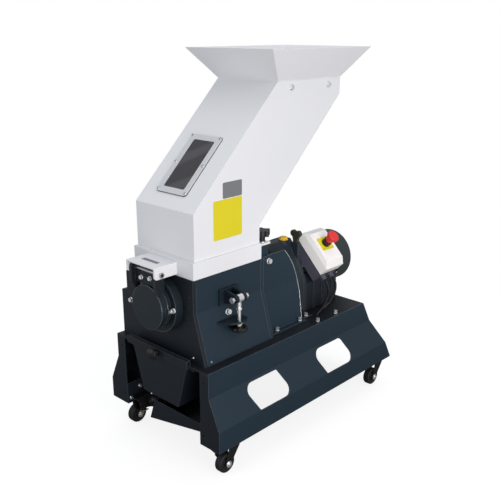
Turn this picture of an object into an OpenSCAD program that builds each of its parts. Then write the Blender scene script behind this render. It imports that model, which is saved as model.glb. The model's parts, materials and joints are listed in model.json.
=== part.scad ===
// Beside-the-press plastic granulator: a tilting feed hopper over a claw rotor chamber,
// a gear motor behind it, a drawer bin below it and a folded base on four castors.
// The bin end faces -Y, the motor end faces +Y, Z is up and the floor is at Z = 0.

/* [Base] */
// Half width of the deck
deck_half_w = 203; // [180:1:220]
// Height of the deck's top face
deck_z = 328.4; // [300:0.1:360]
// Thickness of the deck
deck_t = 5; // [3:0.5:8]
// Half width at the foot of the skirts
skirt_half_w = 242.5; // [225:0.5:260]
// Height at which a skirt starts to slant out
skirt_bend_z = 253; // [230:1:280]
// Height at which a skirt turns vertical again
skirt_knee_z = 166; // [140:1:200]
// Height of a skirt's lower edge
skirt_foot_z = 99.4; // [90:0.1:120]
// Thickness of the skirt sheet
skirt_t = 3; // [2:0.5:4]
// Front edge of the base
base_front_y = -399; // [-420:1:-380]
// Rear edge of the deck
deck_rear_y = 327.4; // [300:0.1:360]
// Rear edge of the base at the foot
base_rear_y = 455; // [430:1:480]
// Inner edge of the front return flanges
return_x = 168; // [150:1:185]

/* [Castors] */
// Diameter of a castor wheel
wheel_d = 60; // [50:1:62]
// Width of a castor wheel
wheel_w = 24; // [18:1:26]
// Distance of a castor from the middle plane
castor_x = 202; // [190:1:212]
// Y of the front wheels
front_wheel_y = -340; // [-360:1:-320]
// Y of the rear wheels
rear_wheel_y = 396; // [370:1:410]
// Distance from a wheel's axle back to its swivel pin
trail = 27; // [20:1:32]

/* [Cutting chamber] */
// Height of the rotor's axis
rotor_z = 480; // [470:1:490]
// Front face of the chamber
chamber_front_y = -377; // [-385:1:-370]
// Rear face of the chamber
chamber_rear_y = -94; // [-100:1:-90]
// Height of the chamber's top face
chamber_top_z = 571.6; // [560:0.1:585]
// Half width of the chamber above its bend
chamber_half_w = 125; // [115:1:135]
// Half width of the chamber where it meets the deck
chamber_foot_w = 168; // [150:1:175]
// Height of the bend in the chamber's side walls
chamber_bend_z = 473.6; // [460:0.1:485]
// Thickness of the end plates
end_plate_t = 12; // [10:1:15]
// Thickness of the side walls
side_wall_t = 8; // [6:1:10]
// Radius of the rotor's claws
claw_r = 84; // [76:1:88]
// Number of claw rings
claw_rings = 6; // [4:1:7]
// Radius of the rotor shaft
shaft_r = 22; // [18:1:25]

/* [Drive] */
// Height of the motor's axis
motor_z = 446; // [440:1:450]
// Radius of the gear case's round top
case_r = 115; // [108:1:118]
// Rear face of the gear case
case_rear_y = 120; // [110:1:130]
// Rear face of the fan cover
fan_rear_y = 410; // [395:1:420]
// Radius of the fan cover
fan_cover_r = 89; // [84:1:95]
// Teeth of each pinion
pinion_teeth = 14; // [12:1:16]
// Teeth of each large gear
gear_teeth = 35; // [33:1:36]

/* [Hopper] */
// Half width of the collar
collar_half_w = 126.9; // [120:0.1:130]
// Height of the collar
collar_h = 48.2; // [40:0.1:60]
// Half width of the chute
chute_half_w = 121.3; // [115:0.1:124]
// Thickness of the hopper sheet
hopper_t = 2.5; // [2:0.5:4]
// Half width of the rim
rim_half_w = 175; // [160:1:190]
// Front edge of the rim
rim_front_y = -116; // [-130:1:-100]
// Rear edge of the rim
rim_rear_y = 340; // [320:1:360]
// Height of the rim
rim_z = 1168.6; // [1150:0.1:1190]
// Height of the neck between chute and funnel
neck_z = 1078.7; // [1060:0.1:1090]
// Width of the sight window's frame
sight_w = 122; // [100:1:130]
// Y of the hopper's hinge pin
pin_y = -432; // [-434:1:-430]
// Height of the hopper's hinge pin
pin_z = 587.4; // [586:0.1:589]

/* [Bin] */
// Half width of the bin at its top
bin_top_w = 119; // [110:1:121]
// Half width of the bin at its bottom
bin_foot_w = 78; // [70:1:90]
// Height of the bin's floor
bin_floor_z = 184; // [175:1:195]
// Length of the bin
bin_len = 290; // [250:1:295]
// Diameter of the bin's knob
bin_knob_d = 39; // [30:1:44]

/* [Control box] */
// Angle from the vertical to the box's lid
box_tilt = 46; // [40:1:50]
// Length of the box down its slope
box_len = 143; // [130:1:150]
// Width of the box along the machine
box_w = 93; // [85:1:100]
// Diameter of the stop button's head
stop_head_d = 40; // [35:1:42]

/* [Hidden] */
$fn = 72;
run_gap = 0.05;
seat_gap = 0.5;
paint_dark = [0.16, 0.2, 0.24];
paint_front = [0.13, 0.15, 0.18];
paint_white = [0.86, 0.88, 0.91];
plastic_black = [0.06, 0.06, 0.065];
zinc = [0.78, 0.79, 0.8];
steel = [0.55, 0.56, 0.58];

// Slope of the base's rear edge, in Y for each unit down
rear_slope = (base_rear_y - deck_rear_y) / (deck_z - skirt_foot_z);
chamber_flare = (chamber_foot_w - chamber_half_w) / (chamber_bend_z - deck_z);
plate_back_y = chamber_front_y + end_plate_t;
plate_fore_y = chamber_rear_y - end_plate_t;

// An outline in X and Z, drawn out from y0 to y1
module along_y(y0, y1) {
    translate([0, y1, 0]) rotate([90, 0, 0]) linear_extrude(height = y1 - y0) children();
}
// An outline in Y and Z, drawn out from x0 to x1
module along_x(x0, x1) {
    translate([x0, 0, 0]) rotate([90, 0, 90]) linear_extrude(height = x1 - x0) children();
}
// A cylinder along Y, X or Z
module rod_y(r, y0, y1, x = 0, z = 0) {
    translate([x, y1, z]) rotate([90, 0, 0]) cylinder(r = r, h = y1 - y0);
}
module rod_x(r, x0, x1, y = 0, z = 0) {
    translate([x0, y, z]) rotate([0, 90, 0]) cylinder(r = r, h = x1 - x0);
}
module rod_z(r, z0, z1, x = 0, y = 0) {
    translate([x, y, z0]) cylinder(r = r, h = z1 - z0);
}
// A box between two opposite corners
module block(low, high) {
    translate(low) cube(high - low);
}
module both_sides() {
    children();
    mirror([1, 0, 0]) children();
}

function unit(v) = v / norm(v);
function arc(centre, r, a0, a1, n) =
    [for (i = [0 : n]) centre + r * [cos(a0 + (a1 - a0) * i / n), sin(a0 + (a1 - a0) * i / n)]];
// Points of a rounded corner at b, between a and c
function fillet(a, b, c, r, n = 6) =
    let (u = unit(a - b), v = unit(c - b), half = acos(u * v) / 2,
        m = b + unit(u + v) * r / sin(half), p = b + u * r / tan(half) - m,
        q = b + v * r / tan(half) - m, a0 = atan2(p[1], p[0]), turn = atan2(q[1], q[0]) - a0,
        sweep = turn > 180 ? turn - 360 : turn < -180 ? turn + 360 : turn)
    [for (i = [0 : n]) m + r * [cos(a0 + sweep * i / n), sin(a0 + sweep * i / n)]];
function rounded(points, radii, n = 6) =
    let (count = len(points))
    [for (i = [0 : count - 1]) each (radii[i] == 0 ? [points[i]] :
        fillet(points[(i + count - 1) % count], points[i], points[(i + 1) % count], radii[i], n))];
// An outline moved inwards: edge i, from point i to the next, moves by depth[i]
function crossing(p, d, q, e) = p + d * ((q - p)[0] * e[1] - (q - p)[1] * e[0]) / (d[0] * e[1] - d[1] * e[0]);
function inset(points, depth) =
    let (count = len(points),
        dirs = [for (i = [0 : count - 1]) unit(points[(i + 1) % count] - points[i])],
        starts = [for (i = [0 : count - 1]) points[i] + depth[i] * [-dirs[i][1], dirs[i][0]]])
    [for (i = [0 : count - 1]) let (j = (i + count - 1) % count)
        crossing(starts[j], dirs[j], starts[i], dirs[i])];

// Base
skirt_outline = [[deck_half_w, deck_z], [deck_half_w, skirt_bend_z], [skirt_half_w, skirt_knee_z],
    [skirt_half_w, skirt_foot_z]];
module skirt_section() {
    inner = [[skirt_half_w - skirt_t, skirt_foot_z + skirt_t], [skirt_half_w - skirt_t,
            skirt_knee_z + 0.7],
        [deck_half_w - skirt_t, skirt_bend_z + 0.7], [deck_half_w - skirt_t, deck_z]];
    polygon(concat(skirt_outline, [[return_x, skirt_foot_z], [return_x, skirt_foot_z + skirt_t]], inner));
    translate([172, deck_z - deck_t - skirt_t]) square([deck_half_w - 172 - 1, skirt_t]);
}
module skirt_return() {
    polygon(concat(skirt_outline, [[return_x, skirt_foot_z], [return_x, deck_z - deck_t]],
        [[deck_half_w - skirt_t, deck_z - deck_t], [deck_half_w - skirt_t, deck_z]]));
}
// Everything behind the slanted rear edge
module behind_rear(extra = 0) {
    along_x(-300, 300) polygon([[deck_rear_y - extra, deck_z], [base_rear_y - extra, skirt_foot_z],
        [base_rear_y - extra, 50], [700, 50], [700, 400], [deck_rear_y - extra - 40, 400],
        [deck_rear_y - extra - 40 * rear_slope, deck_z + 40]]);
}
window_top_z = 246;
window_foot_z = 165.5;
window_len = 148;
module skirt_window(front_y) {
    shift = rear_slope * (window_top_z - window_foot_z);
    along_x(180, 260) polygon(rounded([[front_y, window_top_z], [front_y + window_len, window_top_z],
        [front_y + window_len + shift, window_foot_z], [front_y + shift, window_foot_z]], [22, 9, 22,
                9]));
}
module skirt() {
    difference() {
        union() {
            along_y(base_front_y, base_rear_y) skirt_section();
            along_y(base_front_y, base_front_y + skirt_t) skirt_return();
            // Gusset that stiffens the front corner
            block([return_x - skirt_t, base_front_y + skirt_t, skirt_foot_z + skirt_t], [return_x,
                    -335, 168]);
            block([return_x - skirt_t, base_front_y, skirt_foot_z], [return_x, base_front_y + skirt_t,
                    168]);
            block([return_x - skirt_t, base_front_y, skirt_foot_z], [return_x + 1, -335,
                    skirt_foot_z + skirt_t]);
        }
        behind_rear();
        skirt_window(-272);
        skirt_window(44);
        for (x_z = [[180.6, 296.4], [177, 130]])
            rod_y(4, base_front_y - 1, base_front_y + skirt_t + 1, x_z[0], x_z[1]);
    }
}
module skirt_right() {
    color(paint_dark) skirt();
}
module skirt_left() {
    color(paint_dark) mirror([1, 0, 0]) skirt();
}
hatch_w = 112;
rail_x = 122;
rail_z = 313;
module base_deck() {
    edge = deck_half_w - skirt_t;
    color(paint_dark) difference() {
        union() {
            difference() {
                block([-edge, base_front_y, deck_z - deck_t], [edge, deck_rear_y + 20, deck_z]);
                behind_rear();
            }
            // Rails that carry the bin, welded under the deck
            both_sides() along_y(base_front_y + 6, base_front_y + bin_len) polygon([[rail_x + 1, rail_z],
                [rail_x + 18, rail_z], [rail_x + 18, deck_z - deck_t], [rail_x + 15, deck_z - deck_t],
                [rail_x + 15, rail_z + 3], [rail_x + 1, rail_z + 3]]);
        }
        block([-hatch_w, plate_back_y + 3, deck_z - 20], [hatch_w, plate_fore_y - 3, deck_z + 5]);
        rod_z(6, deck_z - 20, deck_z + 5, 159, 127);
        rod_z(6, deck_z - 20, deck_z + 5, 144, 171);
    }
}
module rear_panel() {
    color(paint_dark) difference() {
        intersection() {
            along_y(300, 460) polygon([[-196, deck_z - deck_t - skirt_t], [-196, skirt_bend_z],
                [-skirt_half_w + 6, skirt_knee_z], [-skirt_half_w + 6, skirt_foot_z + skirt_t],
                [skirt_half_w - 6, skirt_foot_z + skirt_t], [skirt_half_w - 6, skirt_knee_z],
                [196, skirt_bend_z], [196, deck_z - deck_t - skirt_t]]);
            behind_rear(9);
        }
        behind_rear(5);
        for (x = [-120 : 60 : 120], z = [180 : 22 : 246]) translate([x - 20, 300, z]) cube([40, 200, 8]);
    }
}

// Castors
plate_z = skirt_foot_z;
castor_spots = [[-castor_x, front_wheel_y], [castor_x, front_wheel_y], [-castor_x, rear_wheel_y],
    [castor_x, rear_wheel_y]];
module at_castor(i) {
    translate([castor_spots[i][0], castor_spots[i][1], 0]) children();
}
module castor_plates() {
    color(zinc) for (i = [0 : 3]) at_castor(i) difference() {
        union() {
            block([-27, trail - 24, plate_z - 3], [27, trail + 24, plate_z]);
            rod_z(17, plate_z - 9, plate_z - 3, 0, trail);
        }
        rod_z(5 + run_gap, plate_z - 12, plate_z - 1, 0, trail);
    }
}
fork_top_z = plate_z - 9.5;
fork_half_w = wheel_w / 2 + 3.5;
leg_t = 2.5;
axle_z = wheel_d / 2;
nut_h = 6;
module castor_leg() {
    translate([0, axle_z]) circle(r = 11);
    polygon(rounded([[-11, axle_z + 2], [8, axle_z - 8], [trail + 20, fork_top_z - 16], [trail + 20,
            fork_top_z],
        [trail - 20, fork_top_z], [trail - 21, fork_top_z - 14]], [0, 0, 8, 0, 0, 10]));
}
module castor_fork() {
    color(plastic_black) {
        for (side = [-1, 1]) translate([side * (fork_half_w - leg_t / 2), 0, 0]) along_x(-leg_t / 2,
                leg_t / 2)
            castor_leg();
        block([-fork_half_w, trail - 20, fork_top_z - 4], [fork_half_w, trail + 20, fork_top_z]);
        rod_z(20, fork_top_z - 4, fork_top_z, 0, trail);
    }
    color(zinc) {
        rod_z(5, fork_top_z - 1, plate_z - 1.5, 0, trail);
        rod_x(4, -fork_half_w - nut_h - 3, fork_half_w + nut_h + 3, 0, axle_z);
        for (side = [-1, 1]) translate([side * (fork_half_w + nut_h / 2), 0, axle_z]) rotate([0, 90, 0]) {
            cylinder(r = 8, h = nut_h, center = true, $fn = 6);
            cylinder(r = 10, h = 1.2, center = true);
        }
    }
}
module castor_wheel() {
    hub = wheel_w / 2 + 0.6;
    rim = wheel_w / 2 - 2;
    tread_r = wheel_d / 2;
    color(plastic_black) translate([0, 0, axle_z]) rotate([0, 90, 0]) rotate_extrude() polygon(
        concat([[4 + run_gap, -hub], [10, -hub], [11.5, -rim + 2.5], [18, -rim + 2.5], [20, -rim]],
            arc([tread_r - 5, -wheel_w / 2 + 5], 5, -90, 0, 6), arc([tread_r - 5, wheel_w / 2 - 5], 5,
                    0, 90, 6),
            [[20, rim], [18, rim - 2.5], [11.5, rim - 2.5], [10, hub], [4 + run_gap, hub]]));
}
// Brake pedals hinge on the inner side of the front castors: drawn towards +X
pedal_x = fork_half_w + 6.5;
pedal_z = 50;
module brake_pedal() {
    color(zinc) difference() {
        union() {
            rod_y(5, -10, 10, pedal_x, pedal_z);
            along_y(-10, 10) polygon([[pedal_x, pedal_z + 1], [pedal_x + 3, pedal_z - 3],
                    [pedal_x + 22, pedal_z + 2],
                [pedal_x + 27, pedal_z + 6], [pedal_x + 26, pedal_z + 8.5], [pedal_x + 20,
                        pedal_z + 5.5], [pedal_x + 2, pedal_z + 4.5]]);
        }
        rod_y(2.5 + run_gap, -12, 12, pedal_x, pedal_z);
    }
}
module braked_fork() {
    castor_fork();
    color(zinc) {
        for (side = [-1, 1]) translate([0, side * 12.5, 0]) along_y(-1.5,
                1.5) polygon([[fork_half_w - 0.5, pedal_z - 9],
            [pedal_x + 3.5, pedal_z - 3.5], [pedal_x + 3.5, pedal_z + 3.5], [fork_half_w - 0.5,
                    pedal_z + 9]]);
        rod_y(2.5, -15.5, 15.5, pedal_x, pedal_z);
    }
}
module castor_fork_fl() { at_castor(0) braked_fork(); }
module castor_fork_fr() { at_castor(1) mirror([1, 0, 0]) braked_fork(); }
module castor_fork_rl() { at_castor(2) castor_fork(); }
module castor_fork_rr() { at_castor(3) castor_fork(); }
module castor_wheel_fl() { at_castor(0) castor_wheel(); }
module castor_wheel_fr() { at_castor(1) castor_wheel(); }
module castor_wheel_rl() { at_castor(2) castor_wheel(); }
module castor_wheel_rr() { at_castor(3) castor_wheel(); }
module brake_pedal_fl() { at_castor(0) brake_pedal(); }
module brake_pedal_fr() { at_castor(1) mirror([1, 0, 0]) brake_pedal(); }

// Bin
lip_front_y = base_front_y - 14;
module bin_section(in = 0) {
    polygon([[-bin_foot_w + in, bin_floor_z + in], [bin_foot_w - in, bin_floor_z + in],
        [bin_top_w - in, rail_z + 6.5 + in * 4], [-bin_top_w + in, rail_z + 6.5 + in * 4]]);
}
module bin_shell() {
    y0 = base_front_y - 3;
    y1 = y0 + bin_len;
    lip_low = deck_z - 2;
    lip_top = deck_z + 21;
    color(paint_front) difference() {
        union() {
            along_y(y0, y1) bin_section();
            // Flanges that ride on the rails
            both_sides() block([bin_top_w - 1, base_front_y + 6, rail_z + 3.5], [bin_top_w + 13, y1,
                    rail_z + 6.5]);
            // Front panel with its folded lip
            along_y(y0, y0 + 2) polygon([[-bin_top_w, 315], [bin_top_w, 315], [bin_top_w + 12, lip_low],
                [bin_top_w + 14, lip_low + 4], [bin_top_w + 14, lip_top], [-bin_top_w - 14, lip_top],
                [-bin_top_w - 14, lip_low + 4], [-bin_top_w - 12, lip_low]]);
            along_x(-bin_top_w - 14, bin_top_w + 14) polygon([[y0 + 2, lip_top], [lip_front_y,
                    lip_top - 2],
                [lip_front_y, lip_low], [lip_front_y + 2, lip_low], [lip_front_y + 2, lip_top - 4],
                        [y0 + 2, lip_top - 2]]);
        }
        along_y(y0 + 2, y1 - 2) bin_section(2);
        block([-30, -300, bin_floor_z - 5], [30, -240, bin_floor_z + 5]);
    }
}
module bin_knob() {
    color(plastic_black) translate([0, lip_front_y, deck_z + 6]) rotate([90, 0,
            0]) rotate_extrude() polygon(
        concat([[0, 0], [9, 0], [8, 8], [bin_knob_d / 2 - 3, 12]],
            arc([bin_knob_d / 2 - 4, 16], 4, -60, 80, 5), [[9, 25], [0, 26]]));
}

// Suction box under the bin, and its outlet
trough_top_z = 146;
trough_front_y = -379;
trough_rear_y = -215;
trough_corners = [[-58, trough_top_z], [-83, 76], [150, 122], [150, trough_top_z]];
function trough_x(z) = -83 + (z - 76) * 25 / 70;
elbow_x = -129;
elbow_z = 107;
elbow_r = 20;
elbow_front_y = -395;
elbow_turn = 30;
elbow_straight = 30;
module suction_box() {
    t = 2;
    in_y = elbow_front_y + elbow_straight + elbow_turn;
    color(paint_front) {
        difference() {
            along_y(trough_front_y, trough_rear_y) polygon(trough_corners);
            along_y(trough_front_y + t, trough_rear_y - t) polygon(inset(trough_corners, [t, t, t, -5]));
            rod_x(elbow_r - 2, trough_x(elbow_z) - 30, trough_x(elbow_z) + 15, in_y, elbow_z);
        }
        // Tabs that rest on the skirts' lower flanges
        block([-190, -300, skirt_foot_z + skirt_t], [trough_x(104), -270, skirt_foot_z + 2 * skirt_t]);
        block([150, -300, skirt_foot_z + skirt_t], [190, -270, skirt_foot_z + 2 * skirt_t]);
        block([149, -300, skirt_foot_z + skirt_t], [152, -270, trough_top_z]);
    }
}
module suction_elbow() {
    bend_y = elbow_front_y + elbow_straight;
    color(plastic_black) difference() {
        union() {
            rod_y(elbow_r, elbow_front_y, bend_y, elbow_x, elbow_z);
            translate([elbow_x + elbow_turn, bend_y, elbow_z]) rotate([0, 0,
                    90]) rotate_extrude(angle = 90)
                translate([elbow_turn, 0]) circle(r = elbow_r);
            rod_x(elbow_r, elbow_x + elbow_turn, -60, bend_y + elbow_turn, elbow_z);
        }
        rod_y(elbow_r - 2, elbow_front_y - 1, bend_y, elbow_x, elbow_z);
        translate([elbow_x + elbow_turn, bend_y, elbow_z]) rotate([0, 0, 90]) rotate_extrude(angle = 90)
            translate([elbow_turn, 0]) circle(r = elbow_r - 2);
        rod_x(elbow_r - 2, elbow_x + elbow_turn, -50, bend_y + elbow_turn, elbow_z);
        // The cut end follows the box's slanted wall
        along_y(-400, -280) polygon([[trough_x(60), 60], [20, 60], [20, 160], [trough_x(160), 160]]);
    }
}

// Cutting chamber
cover_step_z = 470;
cover_top_z = 534;
cover_low_x = -195;
cover_high_x = -170;
module end_outline() {
    polygon([[chamber_half_w, chamber_top_z], [chamber_half_w, chamber_bend_z], [chamber_foot_w, deck_z],
        [cover_low_x, deck_z], [cover_low_x, cover_step_z], [cover_high_x, cover_step_z + 6],
        [cover_high_x, cover_top_z], [-chamber_half_w, cover_top_z + 8], [-chamber_half_w,
                chamber_top_z]]);
}
module front_plate() {
    color(paint_front) difference() {
        along_y(chamber_front_y, plate_back_y) end_outline();
        rod_y(shaft_r + 6, chamber_front_y - 1, plate_back_y + 1, 0, rotor_z);
    }
}
module rear_plate() {
    color(paint_dark) {
        difference() {
            along_y(plate_fore_y, chamber_rear_y) end_outline();
            rod_y(40, plate_fore_y - 1, chamber_rear_y + 1, 0, rotor_z);
        }
        // Blocks that the hopper's lock studs drop into
        both_sides() difference() {
            block([92, chamber_rear_y, 575], [118, chamber_rear_y + 26, 604]);
            rod_z(5.5, 580, 610, 105, lock_y);
        }
        both_sides() block([92, chamber_rear_y - 10, chamber_top_z], [118, chamber_rear_y, 604]);
    }
}
module side_section() {
    in = side_wall_t;
    polygon([[chamber_half_w, chamber_top_z], [chamber_half_w, chamber_bend_z], [chamber_foot_w, deck_z],
        [chamber_foot_w - in - 0.4, deck_z], [chamber_half_w - in, chamber_bend_z - 1],
        [chamber_half_w - in, chamber_top_z]]);
}
module side_wall_right() {
    color(paint_dark) along_y(plate_back_y, plate_fore_y) side_section();
}
module side_wall_left() {
    color(paint_dark) {
        along_y(plate_back_y, plate_fore_y) mirror([1, 0]) side_section();
        // Boxed cover over the adjusting side of the fixed knife
        along_y(plate_back_y, plate_fore_y) difference() {
            polygon([[cover_low_x, deck_z], [cover_low_x, cover_step_z], [cover_high_x, cover_step_z + 6],
                [cover_high_x, cover_top_z], [-chamber_half_w, cover_top_z + 8], [-chamber_half_w,
                        chamber_bend_z],
                [-chamber_foot_w, deck_z]]);
            polygon([[cover_low_x + 4, deck_z - 1], [cover_low_x + 4, cover_step_z - 2],
                    [cover_high_x + 4, cover_step_z + 3],
                [cover_high_x + 4, cover_top_z - 4], [-chamber_half_w - 1, cover_top_z + 3],
                        [-chamber_half_w - 1, chamber_bend_z],
                [-chamber_foot_w - 1, deck_z - 1]]);
        }
    }
}
ring_t = 15;
ring_pitch = 37;
ring_first_y = (plate_back_y + plate_fore_y) / 2 - ring_pitch * (claw_rings - 1) / 2;
root_r = 58;
// A claw ring: a disc with four hooks that lean into the cut
module claw_ring() {
    circle(r = root_r);
    for (turn = [0 : 90 : 270]) rotate(turn) polygon(concat([[0, root_r - 8], [root_r * 0.62,
            root_r * 0.66]],
        arc([18, 38], claw_r - norm([18, 38]) - 2, 20, 55, 4), [[14, claw_r - 2.5], [9, claw_r - 0.5],
                [7, claw_r - 4]],
        arc([-4, root_r + 8], 12, 20, -70, 4)));
}
module claw_rotor() {
    color(steel) difference() {
        union() {
            rod_y(44, plate_back_y + 4, plate_fore_y - 4, 0, rotor_z);
            for (i = [0 : claw_rings - 1]) {
                y = ring_first_y + i * ring_pitch;
                translate([0, 0, rotor_z]) rotate([0, i * 90 / claw_rings, 0])
                    along_y(y - ring_t / 2, y + ring_t / 2) claw_ring();
            }
        }
        rod_y(shaft_r, -400, -50, 0, rotor_z);
    }
}
module knife_comb() {
    difference() {
        union() {
            block([64, plate_back_y + 1, rotor_z - 14], [chamber_half_w - side_wall_t,
                    plate_fore_y - 1, rotor_z + 8]);
            along_y(plate_back_y + 1, plate_fore_y - 1) polygon([[72, rotor_z - 13],
                [chamber_half_w - side_wall_t, rotor_z - 13], [chamber_half_w - side_wall_t,
                        rotor_z - 34]]);
        }
        for (i = [0 : claw_rings - 1]) {
            y = ring_first_y + i * ring_pitch;
            rod_y(claw_r + 2, y - ring_t / 2 - 2, y + ring_t / 2 + 2, 0, rotor_z);
        }
    }
}
module fixed_knives() {
    color(steel) both_sides() knife_comb();
}
shaft_front_y = -428;
shaft_rear_y = -34;
module rotor_shaft() {
    color(steel) {
        rod_y(shaft_r, shaft_front_y, shaft_rear_y, 0, rotor_z);
    }
}
flange_r = 82;
flange_front_y = chamber_front_y - 25.5;
cap_front_y = -438;
cap_r = 66;
module chamber_bearings() {
    color(steel) {
        difference() {
            rod_y(44, flange_front_y, chamber_front_y, 0, rotor_z);
            rod_y(shaft_r + run_gap, flange_front_y - 1, chamber_front_y + 1, 0, rotor_z);
        }
        difference() {
            rod_y(40, plate_fore_y, chamber_rear_y, 0, rotor_z);
            rod_y(shaft_r + run_gap, plate_fore_y - 1, chamber_rear_y + 1, 0, rotor_z);
        }
    }
}
module bearing_housing() {
    color(paint_front) difference() {
        union() {
            rod_y(flange_r, flange_front_y, chamber_front_y, 0, rotor_z);
            rod_y(62, cap_front_y + 24, flange_front_y, 0, rotor_z);
        }
        rod_y(44, flange_front_y, chamber_front_y + 1, 0, rotor_z);
        rod_y(40, cap_front_y + 20, flange_front_y + 1, 0, rotor_z);
        for (turn = [0, 180, 270]) translate([0, 0, rotor_z]) rotate([0, turn, 0])
            rod_y(5.5, flange_front_y - 1, chamber_front_y + 1, 73);
    }
}
module bearing_cap() {
    color(paint_front) difference() {
        translate([0, cap_front_y + 24, rotor_z]) rotate([90, 0, 0]) rotate_extrude() polygon([[0, 0],
                [cap_r - 2, 0],
            [cap_r - 2, 8], [cap_r, 10], [cap_r, 22.5], [cap_r - 1.5, 24], [0, 24]]);
        rod_y(38, cap_front_y + 5, cap_front_y + 25, 0, rotor_z);
        rod_y(3, cap_front_y - 1, cap_front_y + 6, -19, rotor_z - 10);
    }
}

// Drive
guard_top_z = 575;
guard_bend_z = 462;
guard_foot_w = 141;
module guard_section() {
    w = chamber_half_w;
    polygon([[w, guard_top_z], [w, guard_bend_z], [guard_foot_w, deck_z + 5], [160, deck_z + 5], [160,
            deck_z],
        [guard_foot_w - 4.6, deck_z], [w - 5, guard_bend_z - 0.6], [w - 5, guard_top_z]]);
}
module drive_guards() {
    arc_r = 250;
    rear_y = 72;
    color(paint_dark) both_sides() difference() {
        along_y(chamber_rear_y, rear_y) guard_section();
        difference() {
            block([100, -60, 400], [170, rear_y + 1, guard_top_z + 1]);
            rod_x(arc_r, 99, 171, rear_y - arc_r, 400);
        }
        rod_z(4.5, deck_z - 1, deck_z + 6, 148.5, -54.7);
    }
}
module case_outline(in = 0) {
    top_r = case_r - in;
    translate([0, rotor_z]) circle(r = top_r);
    translate([-top_r, deck_z + in]) square([2 * top_r, rotor_z - deck_z - in]);
}
plug_y = 88;
idler_x = -60.8;
idler_z = 438.7;
case_wall = 10;
gear_1_y = 20;
gear_2_y = -66;
module gear_case() {
    color(paint_front) difference() {
        union() {
            along_y(chamber_rear_y, case_rear_y) case_outline();
            // Feet, a rib round the joint of the two halves, and the motor's seat
            both_sides() block([case_r - 1, 74, deck_z], [148, case_rear_y, deck_z + 5]);
            along_y(4, 12) intersection() {
                union() {
                    translate([0, rotor_z]) circle(r = case_r + 4);
                    translate([-case_r - 4, deck_z]) square([2 * case_r + 8, rotor_z - deck_z]);
                }
                translate([-200, deck_z]) square([400, 300]);
            }
            translate([0, 0, rotor_z]) rotate([0, 26, 0]) rod_z(14, case_r - 3, case_r + 1.5, 0, plug_y);
        }
        along_y(chamber_rear_y + case_wall, case_rear_y - case_wall) case_outline(7);
        rod_y(shaft_r + 2, chamber_rear_y - 1, chamber_rear_y + case_wall + 1, 0, rotor_z);
        rod_y(16, case_rear_y - case_wall - 1, case_rear_y + 1, 0, motor_z);
        rod_y(12 + run_gap, chamber_rear_y + 1.5, case_rear_y - 1.5, idler_x, idler_z);
        both_sides() rod_z(5.5, deck_z - 1, deck_z + 12, 138.2, 97.5);
    }
}
module_1 = 2.5;
module_2 = 3;
// A spur gear blank with straight sided teeth; the first tooth points along X
module gear_profile(teeth, size) {
    pitch_r = teeth * size / 2;
    root = pitch_r - 1.25 * size;
    step = 360 / teeth;
    polygon([for (i = [0 : teeth - 1]) each [
        root * [cos((i - 0.42) * step), sin((i - 0.42) * step)],
        root * [cos((i - 0.29) * step), sin((i - 0.29) * step)],
        (pitch_r + size * 0.85) * [cos((i - 0.1) * step), sin((i - 0.1) * step)],
        (pitch_r + size * 0.85) * [cos((i + 0.1) * step), sin((i + 0.1) * step)],
        root * [cos((i + 0.29) * step), sin((i + 0.29) * step)]]]);
}
module gear(teeth, size, x, z, y0, y1, phase) {
    translate([x, 0, z]) along_y(y0, y1) rotate(phase) gear_profile(teeth, size);
}
// Directions between the shafts, from the idler to the motor and to the rotor
to_motor = atan2(motor_z - idler_z, -idler_x);
to_rotor = atan2(rotor_z - idler_z, -idler_x);
module output_gear() {
    color(steel) difference() {
        gear(gear_teeth, module_2, 0, rotor_z, gear_2_y, gear_2_y + 26, to_rotor + 180);
        rod_y(shaft_r, -100, 0, 0, rotor_z);
    }
}
module idler_gear() {
    color(steel) {
        rod_y(12, chamber_rear_y + 2, case_rear_y - 2, idler_x, idler_z);
        gear(gear_teeth, module_1, idler_x, idler_z, gear_1_y, gear_1_y + 22, to_motor);
        gear(pinion_teeth, module_2, idler_x, idler_z, gear_2_y - 1, gear_2_y + 27,
                to_rotor + 180 / pinion_teeth);
    }
}
module motor_shaft() {
    color(steel) {
        gear(pinion_teeth, module_1, 0, motor_z, gear_1_y - 1, gear_1_y + 23,
                to_motor + 180 + 180 / pinion_teeth);
        rod_y(12, gear_1_y + 22, fan_rear_y - 14, 0, motor_z);
        rod_y(40, 190, 290, 0, motor_z);
    }
}
module oil_plug() {
    color([0.85, 0.62, 0.1]) translate([0, plug_y, rotor_z]) rotate([0, 26, 0]) translate([0, 0,
            case_r + 1.5])
        cylinder(r = 11.5, h = 8, $fn = 6);
}
module lifting_lug() {
    color(plastic_black) translate([0, 0, rotor_z]) rotate([0, 31, 0]) difference() {
        along_y(105, 119) polygon(concat([[-19, case_r - 5], [19, case_r - 5]],
            arc([2, case_r + 20], 15, 0, 150, 8)));
        rod_y(case_r, 100, 122);
        rod_y(6, 100, 122, 1, case_r + 20);
    }
}
fin_r = 82;
module motor_housing() {
    body_r = 74;
    color(paint_front) difference() {
        union() {
            rod_y(98, case_rear_y, case_rear_y + 12, 0, motor_z);
            rod_y(body_r, case_rear_y + 8, 350, 0, motor_z);
            rod_y(80, 339, 352, 0, motor_z);
            for (turn = [0 : 12 : 348]) translate([0, 0, motor_z]) rotate([0, turn, 0])
                block([body_r - 4, case_rear_y + 10, -1.25], [fin_r, 342, 1.25]);
            // Pad that the control box is bolted to
            control_frame() block([-27.3, 158, 71], [28.4, 238, 86]);
        }
        rod_y(64, case_rear_y + 12, 185, 0, motor_z);
        rod_y(41.5, 184, 296, 0, motor_z);
        rod_y(64, 295, 340, 0, motor_z);
        for (y = [case_rear_y - 1, 339]) rod_y(12 + run_gap, y, y + 14, 0, motor_z);
    }
}
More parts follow.
